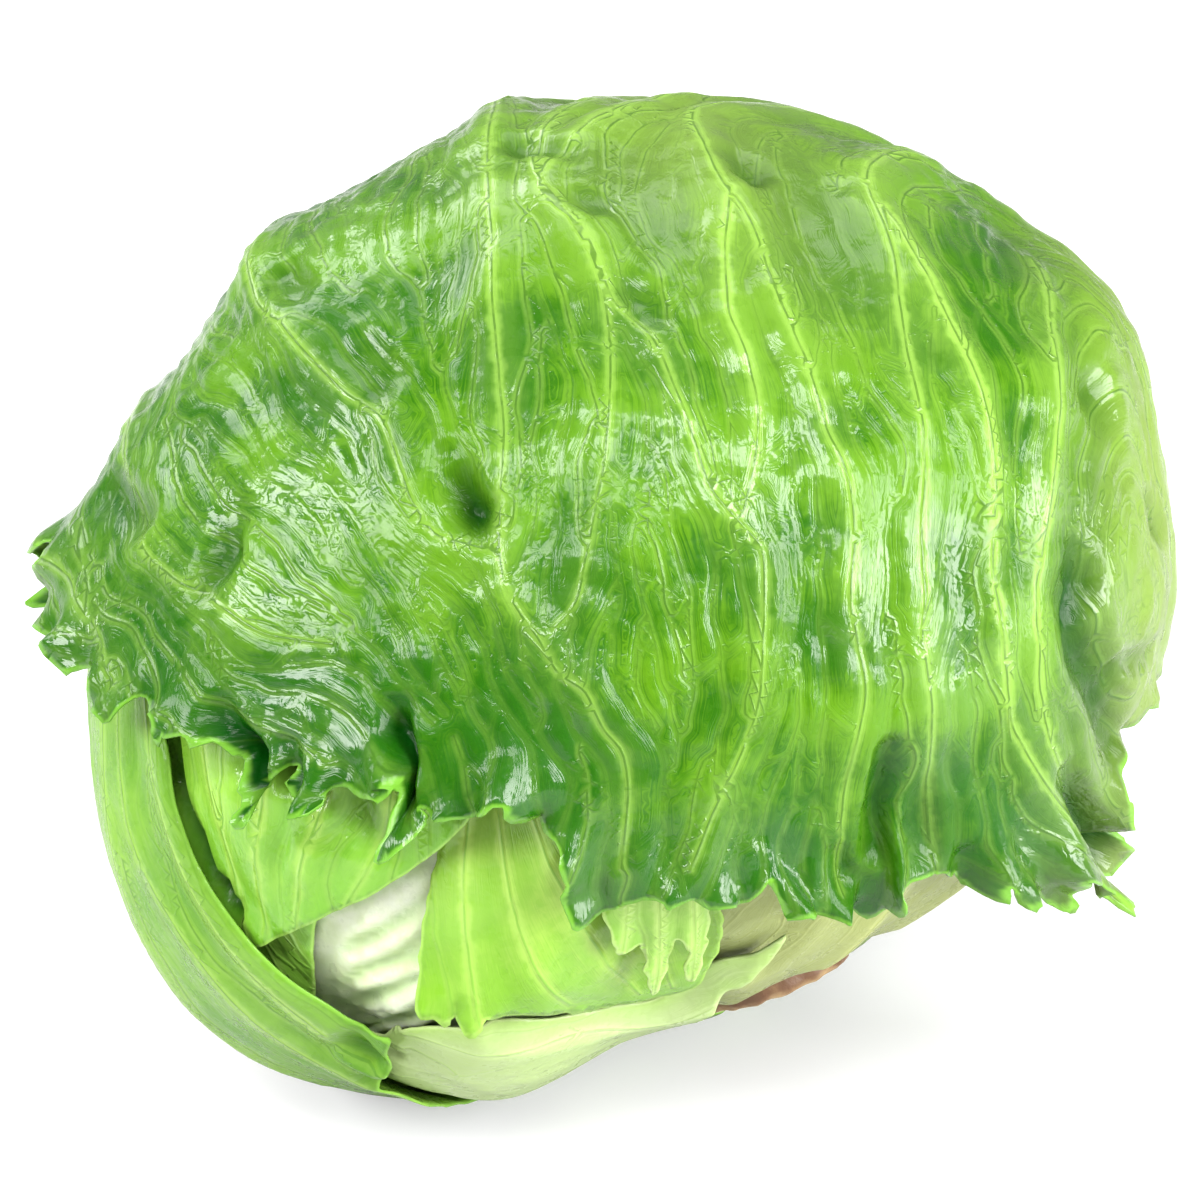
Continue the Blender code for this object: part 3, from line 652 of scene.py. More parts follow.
def lattice(spacing, low, high, reach):
    """A triangular lattice over a box, out to a reach. It holds every point of the one with twice
    the spacing."""
    height = spacing * math.sqrt(3) / 2
    low = np.maximum(low, -reach)
    high = np.minimum(high, reach)
    rows = np.arange(math.floor(low[1] / height), math.ceil(high[1] / height) + 1)
    first = math.floor(low[0] / spacing - rows[-1] / 2) - 1
    last = math.ceil(high[0] / spacing - rows[0] / 2) + 1
    column, row = np.meshgrid(np.arange(first, last + 1), rows)
    points = np.stack([(column + row / 2) * spacing, row * height], -1).reshape(-1, 2)
    return points[(points[:, 0] > low[0]) & (points[:, 0] < high[0])]


def fill_outline(leaf, outline):
    """Places and triangles that fill an outline, closer near it and on the side that is seen."""
    low, high = outline.min(axis=0), outline.max(axis=0)
    kept = []
    spacing = 0.5
    while spacing > 0.6 * leaf.edge / MEAN_RADIUS:
        reach = 2 * math.sqrt(max(spacing * MEAN_RADIUS / (0.72 * leaf.edge) - 1, 0.01))
        points = lattice(spacing, low, high, reach)
        points = points[leaf.contains(points, outline)]
        if len(points):
            real = spacing * MEAN_RADIUS / leaf.stretch(points)
            d = leaf.unflatten(points)
            distance = leaf.from_margin(d)
            wanted = np.clip(leaf.edge + GROWTH * distance, leaf.edge, leaf.inside)
            wanted = wanted * (1 + FAR_SIDE_GROWTH * ramp(-(d @ TOWARDS), -0.15, 0.25))
            kept.append(points[(real > 0.72 * wanted) & (distance > 0.6 * wanted)])
        spacing /= 2
    inner = np.unique(np.round(np.vstack(kept), 6), axis=0)
    places = np.vstack([outline, inner])
    ring = [list(range(len(outline)))]
    made = delaunay_2d_cdt([tuple(p) for p in places.tolist()], [], ring, 1, 1e-7)
    return np.array([tuple(p) for p in made[0]]), np.array(made[2]), len(outline)


def free_radius(d, leaves):
    """The greatest radius that the leaves over each place leave free."""
    top = np.full(len(d), np.inf)
    for leaf in leaves:
        own = np.minimum(above_floor(d, leaf.bare(d)), top)
        inside = leaf.contains(leaf.flatten(d), leaf.guard)
        past = np.where(inside, 0, leaf.from_margin(d)) - YIELD_MARGIN
        rise = RISE * np.maximum(past, 0) + FREE_RISE * np.maximum(past - YIELD_REACH, 0)
        top = np.minimum(top, own - LEAF_THICKNESS - GAP + rise)
    return top


def outward_normals(points, faces, way):
    """The faces turned to look the way that the points lie from the centre, and each point's
    normal."""
    a, b, c = (points[faces[:, k]] for k in range(3))
    normal = np.cross(b - a, c - a)
    if np.mean(np.sum(normal * way[faces[:, 0]], axis=1)) < 0:
        faces = faces[:, ::-1]
        normal = -normal
    lean = np.zeros_like(points)
    for k in range(3):
        np.add.at(lean, faces[:, k], normal)
    return faces, unit(lean + 1e-15 * way)


def margin_sides(faces, count):
    """The triangles that join the free edges of the outer face to those of the inner one."""
    ends = np.concatenate([faces[:, [0, 1]], faces[:, [1, 2]], faces[:, [2, 0]]])
    keys = ends[:, 0] * count + ends[:, 1]
    mates = ends[:, 1] * count + ends[:, 0]
    a, b = ends[~np.isin(keys, mates)].T
    return np.vstack([np.stack([b, a, a + count], 1), np.stack([b, a + count, b + count], 1)])


def outer_face(leaf, above, d, distance, lines):
    """The points of the outer face, with the folds' heights and the blade's slow swells."""
    top = free_radius(d, above)
    shift = np.zeros_like(d)
    ribs, folds = leaf.relief(d, shift)
    bare = form(d) + leaf.level + ribs + folds
    room = ramp(top - bare, PRESSED, FREE)
    at = d * MEAN_RADIUS
    quilt = leaf.quilt * (1 - np.exp(-((lines["main"] / GROOVE) ** 2)))
    ridge = CREST_HEIGHT * lines["strength"] * np.exp(-((lines["rib"] / CREST_WIDTH) ** 2))
    swell = ripples(at, SWELL_SIZE, 1)
    crinkle = leaf.crinkle * (swell + 0.55 * ripples(at, CRINKLE_SIZE, 2))
    fine = (quilt + ridge + crinkle) * (PRESSED_SHARE + (1 - PRESSED_SHARE) * room)
    lift = leaf.blend_of(d, leaf.guard_lift[:, None], 2 * MM)[:, 0] * np.exp(-distance / FLARE)
    radius = above_floor(d, np.minimum(bare, top) + fine + lift)
    outer = d * radius[:, None] + shift * room[:, None]
    if leaf.ruffle:
        outer += leaf.ruffled(d, distance) * (0.3 + 0.7 * room)[:, None]
    outer[:, 2] = np.maximum(outer[:, 2], -FLOOR_BELOW_CENTRE)
    return outer, folds, swell


def leaf_marks(leaf, d, distance, lines, folds, swell):
    """What the leaf's material reads at each point. Lengths are in millimetres."""
    from_base = np.min([arc_length(d, way) for way in leaf.bases], axis=0)
    return {
        "side": lines["side"] / MM,
        "near": lines["near"] / MM,
        "power": lines["power"],
        "rib": lines["rib"] / MM,
        "strength": lines["strength"],
        "edge": distance / MM,
        # How deep a fold sinks there, which the material paints as shade.
        "hollow": np.clip(-folds / (4 * MM), 0, 1),
        "pale": np.maximum(
            ramp(distance / MM, *leaf.pale),
            1 - ramp(from_base - leaf.base_reach, -50 * MM, 0),
        ),
        "tone": swell + 0.7 * ripples(d * MEAN_RADIUS, PATCH_SIZE, 3),
        "cut": from_stem(d) / MM,
    }


def leaf_mesh(leaf, above):
    """Points, triangles and marks of the closed leaf: an outer face, an inner one and the margin."""
    outline, _ = leaf.border(leaf.edge)
    if leaf.tooth:
        outline = toothed(leaf, outline, leaf.edge)
    flat, faces, rim_count = fill_outline(leaf, outline)
    d = off_the_stem(leaf.unflatten(flat))
    distance = leaf.from_margin(d)
    distance[:rim_count] = 0
    lines = leaf.lines.read(d)
    outer, folds, swell = outer_face(leaf, above, d, distance, lines)
    faces, normal = outward_normals(outer, faces, d)
    thinned = np.clip(distance / THINNING, 0, 1)
    thick = MARGIN_THICKNESS + (LEAF_THICKNESS - MARGIN_THICKNESS) * thinned
    inner = outer - normal * thick[:, None]
    inner[:, 2] = np.maximum(inner[:, 2], 0.2 * MM - FLOOR_BELOW_CENTRE)
    marks = leaf_marks(leaf, d, distance, lines, folds, swell)
    sides = margin_sides(faces, len(outer))
    points = np.vstack([outer, inner])
    faces = np.vstack([faces, faces[:, ::-1] + len(outer), sides])
    return points, faces, {name: np.tile(values, 2) for name, values in marks.items()}


def add_piece(name, node, points, faces, marks, material):
    """A mesh that stands for a node of the frame."""
    mesh = bpy.data.meshes.new(name)
    mesh.from_pydata((points + CENTRE).tolist(), [], faces.tolist())
    mesh.shade_smooth()
    for mark, values in marks.items():
        layer = mesh.attributes.new(mark, "FLOAT", "POINT")
        layer.data.foreach_set("value", values.astype(np.float32))
    mesh.materials.append(material)
    piece = bpy.data.objects.new(name, mesh)
    bpy.context.scene.collection.objects.link(piece)
    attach(piece, "root")
    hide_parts(node)
    return piece


# The big leaf over the top: its long frilled margin hangs across the front, from the ear at the
# left to the flounce at the right, and its base runs down the back and the right to the stem.
CAP_SEEN = [
    (52, 543, 5), (42, 569, 6), (44, 600, 6), (46, 630, 6), (64, 641, 5), (70, 674, 5), (82, 665, 4),
    (100, 681, 4), (98, 712, 4), (110, 704, 4), (122, 720, 4), (137, 698, 4), (158, 709, 4),
    (166, 722, 4), (165, 741, 4), (173, 733, 4), (202, 734, 4), (222, 737, 4), (231, 744, 5),
    (236, 765, 6), (239, 794, 6), (236, 811, 6), (243, 819, 6), (252, 821, 6), (261, 808, 5),
    (263, 797, 4), (271, 784, 2), (279, 772, 2), (285, 768, 3), (295, 766, 4), (298, 772, 4),
    (297, 786, 4), (301, 797, 4), (310, 804, 4), (331, 791, 4), (344, 784, 4), (363, 791, 4),
    (380, 768, 5), (384, 800, 5), (383, 824, 6), (384, 840, 6), (387, 854, 6), (398, 848, 6),
    (411, 840, 5), (420, 829, 4), (426, 817, 4), (420, 807, 3), (430, 808, 3), (447, 812, 3),
    (461, 815, 3), (480, 811, 3), (508, 799, 3), (528, 814, 3), (559, 842, 3), (568, 878, 3),
    (573, 915, 4), (610, 908, 4), (636, 900, 4), (668, 893, 4), (712, 900, 4), (744, 896, 4),
    (764, 886, 4), (766, 902, 4), (779, 914, 4), (792, 911, 4), (812, 908, 4), (838, 914, 4),
    (859, 914, 4), (880, 902, 4), (886, 898, 4), (903, 896, 4), (918, 882, 4), (939, 869, 5),
    (958, 874, 5), (964, 882, 6), (990, 888, 7), (1003, 884, 8), (1014, 892, 9), (1026, 907, 10),
    (1036, 896, 11), (1046, 899, 11), (1063, 904, 12), (1076, 888, 13), (1089, 884, 14),
    (1104, 896, 13), (1117, 892, 13), (1130, 904, 14), (1138, 890, 14), (1148, 880, 14),
    (1153, 861, 14), (1136, 830, 11), (1120, 785, 7), (1112, 745, 3),
]
CAP_BASE = [
    (90, -8, 0), (96, -11, 0), (99, -20, 0), (97, -32, 0), (92, -44, 0), (85, -54, 0), (79, -60, 0),
    (81, -66, 0), (98, -65, 0), (116, -58, 0),
]
CAP_HIDDEN = [
    (130, -48, 1), (144, -41, 1), (162, -33, 1), (182, -27, 1), (202, -20, 1), (222, -14, 1),
    (240, -9, 1), (254, -5, 1), (264, -2, 1),
]
CAP_RIBS = [
    (10, 2.6, [(92, -60), (106, -38), (126, -8), (150, 24), (180, 48), (206, 60)],
     [(497, 128), (491, 160), (495, 241), (497, 321), (504, 401), (507, 450), (502, 549), (515, 600),
      (539, 635), (561, 672), (585, 688), (604, 726), (620, 745), (628, 782), (622, 850)]),
    (9, 2.0, [(98, -52), (112, -24), (130, 6), (148, 36), (176, 60), (192, 70)],
     [(535, 165), (570, 227), (591, 262), (604, 300), (610, 348), (610, 401), (604, 468), (600, 490),
      (585, 565), (575, 605), (548, 634)]),
    (10, 2.2, [(92, -52), (104, -20), (122, 14), (138, 44), (160, 66)],
     [(545, 180), (584, 241), (600, 273), (614, 308), (640, 329), (659, 356), (672, 388),
      (683, 415), (697, 455), (711, 493), (743, 530), (759, 549), (762, 584), (759, 651),
      (756, 699), (743, 739), (713, 798), (686, 850)]),
    (9, 1.8, [(88, -46), (100, -16), (116, 18), (132, 48), (146, 70)],
     [(691, 126), (705, 160), (721, 195), (737, 214), (758, 254), (772, 294), (788, 334), (798, 356),
      (814, 401), (828, 442), (844, 482), (850, 540), (846, 600), (860, 680), (850, 740), (836, 800),
      (826, 870)]),
    (6, 0.9, [], [(727, 200), (723, 250), (725, 294), (727, 321), (745, 361), (756, 415), (752, 468),
      (738, 525)]),
    (10, 1.8, [(86, -40), (96, -12), (110, 20), (120, 46)],
     [(862, 180), (887, 268), (895, 321), (906, 375), (916, 428), (918, 482), (916, 540), (918, 597),
      (915, 640), (921, 686), (923, 721), (921, 774), (918, 828), (900, 880)]),
    (9, 1.4, [], [(876, 220), (922, 294), (956, 361), (973, 401), (984, 480), (984, 560), (990, 614),
      (993, 648), (998, 710), (1018, 766), (1020, 850)]),
    (8, 0.9, [], [(1036, 262), (1050, 340), (1050, 440), (1036, 540), (1026, 614), (1030, 694),
      (1040, 766), (1070, 850)]),
    (9, 1.2, [(86, -34), (88, -8), (92, 14), (98, 34)], []),
    (10, 2.0, [(94, -60), (116, -44), (150, -18), (186, 8), (222, 30), (252, 42)],
     [(264, 308), (286, 326), (313, 359), (350, 396), (382, 418), (398, 455), (414, 498), (440, 536),
      (467, 544), (500, 553)]),
    (10, 2.0, [(96, -62), (124, -50), (160, -32), (200, -12), (236, 8), (258, 20)],
     [(140, 470), (149, 525), (170, 566), (213, 595), (242, 611), (277, 633), (336, 643)]),
    (8, 1.4, [(104, -62), (140, -46), (184, -30), (226, -12), (258, 2)],
     [(92, 560), (116, 620), (142, 680)]),
]
CAP_FOLDS = [
    (10, 0, [(1014, 230, -2.0), (1044, 300, -1.0), (1070, 400, -0.8), (1080, 520, -0.8)]),
    (7, 0, [(1068, 595, -2), (1080, 640, -3.5), (1098, 700, -3.5), (1096, 735, -2.5)]),
    (4, 0, [(1108, 690, 0), (1116, 664, -2), (1145, 652, -1.5)]),
    (5, 0, [(236, 512, -1), (226, 560, -3), (216, 585, -2)]),
    (5, 0, [(452, 462, -1), (464, 488, -3.2), (476, 520, -2)]),
    (6, 0, [(478, 515, -2.2), (484, 528, -1)]),
    (7, 0, [(366, 355, -1.6), (380, 380, -2.2)]),
    (6, 0, [(735, 160, -1.6), (750, 172, -2.4)]),
    (5, 0, [(522, 152, -1.8), (566, 158, -1.6)]),
    (5, 0, [(284, 275, -2), (300, 290, -1.8)]),
    (5, 0, [(585, 204, -1.5), (596, 208, -1.5)]),
    (5, 0, [(636, 296, -1.4), (652, 318, -1.6)]),
    (6, 0, [(128, 490, -1.5), (150, 520, -2.5)]),
    (6, 0, [(1098, 396, -2.4), (1104, 416, -1.6)]),
    (5, 0, [(1150, 512, -1.6), (1158, 530, -1.6)]),
    (5, 0, [(1080, 556, -2), (1090, 584, -3.5), (1084, 604, -2)]),
    (5, 0, [(886, 752, -2), (876, 800, -3.2), (870, 836, -2)]),
    (4, 0, [(826, 844, -1), (832, 862, -2.4)]),
    (5, 0, [(914, 760, 0), (906, 815, -3.5), (905, 850, -2.5)]),
    (4, 0, [(946, 838, -1.5), (940, 862, -2.5)]),
    (5, 0, [(1042, 770, -2), (1042, 800, -4.5), (1046, 832, -3)]),
    (6, 0, [(1056, 806, -5), (1068, 830, -8), (1074, 850, -6)]),
    (4, 0, [(1098, 770, -3), (1092, 800, -5), (1098, 850, -4)]),
    (4, 0, [(1118, 800, -2), (1124, 840, -4), (1134, 866, -3)]),
    (8, 0, [(46, 560, 3), (46, 600, 3), (60, 632, 2)]),
    (6, 0, [(62, 565, -3), (72, 595, -6), (78, 622, -5)]),
    (4, 0, [(44, 585, 0), (50, 612, -3)]),
    (5, 0.5, [(247, 818, 4.5), (246, 790, 4.5), (237, 755, 3), (226, 722, 0)]),
    (5, 0, [(222, 690, 0), (232, 712, -3), (247, 738, -6), (264, 760, -7), (274, 776, -5)]),
    (4, 0, [(298, 770, 3), (292, 756, 2), (286, 740, 0)]),
    (4, 0, [(312, 795, -3), (306, 772, -5), (300, 748, -2)]),
    (5, 0.7, [(386, 852, 5), (386, 820, 5), (392, 785, 4.5), (398, 758, 4), (402, 730, 0)]),
    (3.6, 0, [(398, 822, -3), (408, 790, -7), (410, 755, -7), (402, 705, -2)]),
    (5, 0, [(335, 790, 2.5), (330, 730, 0)]),
    (6, 0, [(416, 825, 3), (420, 790, 1)]),
    (4, -0.5, [(512, 800, 4), (508, 770, 2), (505, 750, 0)]),
    (8, 0, [(560, 905, 3), (556, 820, 0)]),
    (5, 0, [(590, 905, -2), (592, 850, 0)]),
    (7, 0, [(640, 900, 2.5), (640, 800, 0)]),
    (7, 0, [(705, 898, 2.5), (700, 800, 0)]),
    (5, 0.7, [(772, 884, 4), (752, 860, 2), (745, 830, 0)]),
    (7, 0, [(812, 905, 3.5), (806, 800, 0)]),
    (5, -0.7, [(880, 900, 5), (888, 860, 4), (900, 800, 1), (904, 760, 0)]),
    (6, 0, [(950, 876, 4), (962, 780, 0)]),
    (5, 0.6, [(1000, 886, 4), (1010, 800, 0)]),
    (4, 0, [(1026, 900, 4), (1030, 850, 0)]),
    (4, 0, [(1060, 900, 4), (1062, 870, 3)]),
    (5, -0.5, [(1085, 884, 4), (1090, 850, 2), (1110, 800, 0)]),
    (5, 0.4, [(1131, 905, 5), (1118, 850, 3), (1108, 780, 0)]),
]

# The broad leaf round the left and the underside, on which the head sits.
LEFT_SEEN = [
    (150, 690, 0), (166, 742, 0), (176, 800, 0), (200, 868, 0), (243, 932, 0), (296, 984, 0),
    (345, 1014, 0), (374, 1034, 2), (390, 1040, 3), (386, 1056, 3), (390, 1072, 3), (380, 1084, 2),
    (402, 1092, 0), (432, 1104, 0),
]
LEFT_BASE = [
    (330, -68, 0), (350, -75, 0), (16, -77, 0), (32, -75.5, 0), (50, -76, 0), (68, -74, 0),
    (80, -69, 0), (100, -65, 0), (122, -52, 0), (140, -34, 0), (165, -16, 0), (195, -6, 0),
    (225, 2, 0), (250, 12, 0), (272, 18, 0), (288, 16, 0),
]
LEFT_RIBS = [
    (7, 1.6, [(46, -77), (0, -80), (335, -60)],
     [(382, 1074), (300, 1038), (208, 958), (142, 850), (124, 760), (122, 690)]),
    (7, 1.2, [], [(330, 1022), (262, 966), (206, 890), (172, 810), (152, 735), (146, 690)]),
    (9, 1.4, [(56, -78), (320, -84), (306, -50), (294, -20), (286, 8)], []),
    (12, 2.2, [(66, -77), (240, -84), (262, -54), (264, -22), (264, 8)], []),
    (9, 1.8, [(80, -72), (200, -72), (236, -46), (248, -18), (254, 4)], []),
    (9, 1.6, [(92, -66), (170, -58), (212, -30), (230, -6)], []),
    (8, 1.2, [(104, -63), (150, -46), (188, -22), (206, -6)], []),
]
LEFT_FOLDS = [
    (4, 0, [(166, 745, 1.2), (182, 815, 1.2), (206, 875, 1.2), (246, 932, 1.2), (298, 982, 1.2),
            (345, 1012, 1)]),
    (3, 0, [(340, 1020, 0), (362, 1036, -1.6), (380, 1046, -2.4)]),
    (2.5, 0, [(362, 1062, 0), (384, 1064, -2.2)]),
    (3, 0, [(352, 1044, 1), (386, 1054, 1.6)]),
]

# The leaf up the right side. Its pale base shows between the frilled margin and the stem.
RIGHT_SEEN = [
    (710, 1010, 0), (698, 970, 0), (706, 920, 0), (750, 850, 0), (830, 800, 0), (900, 700, 0),
    (990, 600, 0), (1060, 530, 0), (1120, 520, 0),
]
RIGHT_BASE = [
    (84, 8, 0), (92, 4, 0), (102, -8, 0), (108, -24, 0), (105, -42, 0), (96, -54, 0), (82, -61, -1),
    (75, -57, -2), (67, -52, -2.2), (59, -49.5, -2.2), (50, -48.3, -2.2), (41, -49.5, -2.2),
    (33, -52, -2), (26, -56.5, -1),
]
RIGHT_RIBS = [
    (10, 0.9, [(58, -40), (64, -26), (72, -10), (78, 4)], []),
    (8, 0.8, [(38, -40), (40, -28), (44, -12), (46, 2)], []),
    (8, 0.8, [(80, -48), (86, -34), (92, -18), (92, 0)], []),
]

# The yellow-green leaf folded over in the opening at the lower left.
FOLD_SEEN = [
    (475, 806, 1), (440, 848, 1), (382, 888, 1), (312, 922, 1), (256, 948, 1), (236, 934, 0),
    (200, 930, 0), (150, 880, 0), (110, 800, 0), (110, 720, 0), (170, 660, 0), (280, 650, 0),
    (400, 680, 0), (480, 740, 0),
]
FOLD_FOLDS = [
    (3, 0, [(166, 735, -3), (178, 800, -5), (201, 862, -6), (232, 908, -5)]),
    (5, 0, [(236, 800, 1.2), (262, 850, 0.8)]),
    (5, 0, [(300, 800, 1.0), (320, 860, 0.8)]),
    (5, 0, [(250, 760, -1.0), (290, 770, -0.8)]),
    (5, 0, [(360, 800, -0.8), (390, 840, -0.8)]),
]
FOLD_RIBS = [
    (6, 0.8, [], [(205, 690), (208, 770), (226, 850), (252, 938)]),
    (6, 0.7, [], [(275, 690), (268, 780), (262, 860), (268, 935)]),
    (6, 0.8, [], [(345, 690), (330, 790), (310, 860), (300, 920)]),
    (6, 0.7, [], [(405, 700), (395, 800), (380, 850), (352, 898)]),
]

# The leaf below the middle, from the stem leftwards, with its frilled lower corner.
FRONT_SEEN = [
    (520, 780, 0), (462, 818, 0), (436, 842, 0), (425, 890, 0), (421, 940, 0), (420, 985, 1),
    (412, 1006, 4), (418, 1026, 5), (438, 1014, 3), (446, 1032, 5), (456, 1012, 3), (474, 1042, 5),
    (488, 1016, 3), (500, 1010, 1),
    (560, 1012, 0), (620, 1004, 0), (684, 990, 0), (712, 962, 0), (722, 920, 0), (700, 850, 0),
    (640, 790, 0), (580, 770, 0),
]
FRONT_RIBS = [
    (8, 1.2, [], [(520, 790), (560, 880), (600, 950), (640, 992)]),
    (8, 1.2, [], [(490, 800), (505, 870), (530, 940), (572, 1005)]),
    (7, 1.0, [], [(462, 820), (460, 880), (470, 940), (490, 1005)]),
    (7, 1.0, [], [(580, 790), (615, 860), (650, 930), (672, 985)]),
    (7, 0.9, [], [(640, 800), (665, 850), (690, 910), (700, 950)]),
]
FRONT_FOLDS = [
    (3, 0.5, [(418, 1026, 2.5), (430, 1000, 2), (446, 976, 0)]),
    (3, 0.4, [(446, 1032, 2.5), (450, 1002, 1.6), (458, 976, 0)]),
    (3, -0.5, [(474, 1042, 2.5), (474, 1010, 1.6), (478, 984, 0)]),
    (2.6, 0, [(436, 1014, -1.6), (442, 990, -1.2)]),
    (2.6, 0, [(458, 1014, -1.6), (464, 990, -1.2)]),
]

# The torn tips that hang between the margin and the leaf below it.
FRAYED_SEEN = [
    (600, 900, 1), (614, 940, 2), (620, 953, 2), (642, 942, 1), (647, 968, 2), (654, 993, 2),
    (669, 954, 1), (676, 936, 1), (690, 950, 2), (684, 968, 2), (694, 979, 2), (704, 944, 1),
    (708, 900, 0), (690, 850, 0), (640, 840, 0), (600, 860, 0),
]
FRAYED_RIBS = [
    (5, 0.5, [], [(620, 850), (628, 900), (622, 948)]),
    (5, 0.5, [], [(655, 850), (660, 920), (655, 985)]),
    (5, 0.5, [], [(690, 860), (694, 910), (690, 970)]),
]

# The small light leaf tucked under the folded one.
TUCK_SEEN = [
    (316, 890, 0), (315, 930, 0), (315, 975, 0), (316, 1006, 0), (290, 1010, 0), (240, 960, 0),
    (215, 910, 0), (250, 880, 0),
]
TUCK_RIBS = [
    (5, 0.5, [], [(240, 900), (270, 945), (305, 995)]),
    (5, 0.5, [], [(270, 890), (290, 930), (312, 965)]),
]

# The pale leaf that makes the underside's front, from the stem leftwards.
UNDER_SEEN = [
    (720, 1008, 1), (745, 990, 1), (770, 962, 1), (786, 936, 1), (752, 956, 0), (715, 975, 0),
    (660, 1006, 0), (604, 1021, 0), (560, 1028, 0), (500, 1027, 0), (440, 1036, 0), (402, 1046, 0),
    (372, 1056, 0), (345, 1068, 0),
]
UNDER_BASE = [
    (322, -66, 0), (335, -75, 0), (0, -80, 0), (22, -75, 0), (17, -68, 0), (18, -62, 0),
]
UNDER_RIBS = [
    (8, 1.0, [], [(740, 985), (660, 1018), (560, 1040), (450, 1052), (380, 1050)]),
    (8, 1.0, [(20, -66), (0, -68), (340, -62), (326, -52)], []),
    (8, 0.8, [(18, -72), (350, -74), (332, -66)], []),
]

# The crinkles of the white inner leaf in the opening.
HEART_FOLDS = [
    (4, [(312, 965, 1), (340, 925, 2.2), (385, 905, 2.0), (445, 868, 1)]),
    (3, [(316, 985, 1), (350, 958, 1.6), (385, 945, 2.0), (445, 900, 1)]),
    (2.6, [(322, 1004, 0.6), (366, 978, 1.6), (430, 962, 1.0)]),
    (3.4, [(335, 1018, 1.0), (370, 1010, 1.8), (430, 984, 1)]),
    (2.4, [(350, 1040, 0.6), (392, 1022, 1.4), (440, 1014, 0.8)]),
]


def make_leaves():
    """The leaves from the outermost inwards."""
    cap = Leaf("cap_leaf", (178, 60), CAP_SEEN, CAP_BASE, CAP_HIDDEN, level=1.5 * MM, ribs=CAP_RIBS,
               folds=CAP_FOLDS, tooth=1.1 * MM, wave=1.6 * MM, ruffle=1.3 * MM, crinkle=0.4 * MM,
               bases=((100, 0), (86, -50)), base_reach=75 * MM, pale=(70, 150), seed=5)
    left = Leaf("left_leaf", (262, -38), LEFT_SEEN, LEFT_BASE, level=-0.9 * MM, ribs=LEFT_RIBS,
                folds=LEFT_FOLDS, crinkle=0.12 * MM, quilt=0.3 * MM, inside=1.4 * MM,
                vein_gap=3.5 * MM, linked=False, pale=(20, 60))
    right = Leaf("right_leaf", (72, -28), RIGHT_SEEN, RIGHT_BASE, ribs=RIGHT_RIBS,
                 crinkle=0.1 * MM, quilt=0.15 * MM, inside=1.3 * MM, vein_gap=6 * MM, linked=False,
                 pale=(-2, -1))
    fold = Leaf("fold_leaf", (300, -12), FOLD_SEEN, level=-1.6 * MM, ribs=FOLD_RIBS,
                folds=FOLD_FOLDS, crinkle=0.45 * MM, quilt=0.7 * MM, inside=1.0 * MM,
                linked=False, pale=(10, 45))
    front = Leaf("front_leaf", (352, -36), FRONT_SEEN, level=-0.4 * MM, ribs=FRONT_RIBS,
                 folds=FRONT_FOLDS, tooth=0.5 * MM, crinkle=0.25 * MM, inside=1.0 * MM,
                 vein_gap=6 * MM, linked=False, pale=(10, 40), seed=8)
    frayed = Leaf("frayed_leaf", (12, -34), FRAYED_SEEN, level=0.6 * MM, ribs=FRAYED_RIBS,
                  tooth=0.7 * MM, crinkle=0.2 * MM, edge=0.6 * MM, inside=0.9 * MM, vein_gap=3 * MM,
                  pale=(8, 30), seed=3)
    tuck = Leaf("tuck_leaf", (310, -34), TUCK_SEEN, level=-4.5 * MM, ribs=TUCK_RIBS,
                crinkle=0.25 * MM, pale=(10, 40))
    under = Leaf("under_leaf", (345, -58), UNDER_SEEN, UNDER_BASE, ribs=UNDER_RIBS,
                 crinkle=0.12 * MM, quilt=0.2 * MM, inside=1.2 * MM, vein_gap=6 * MM, linked=False,
                 pale=(0, 6))
    return [cap, left, fold, frayed, front, tuck, under, right]


def colour(red, green, blue):
    """A colour given as its display values of 0 to 255."""
    share = np.array([red, green, blue]) / 255
    linear = np.where(share <= 0.04045, share / 12.92, ((share + 0.055) / 1.055) ** 2.4)
    return (*linear.tolist(), 1.0)


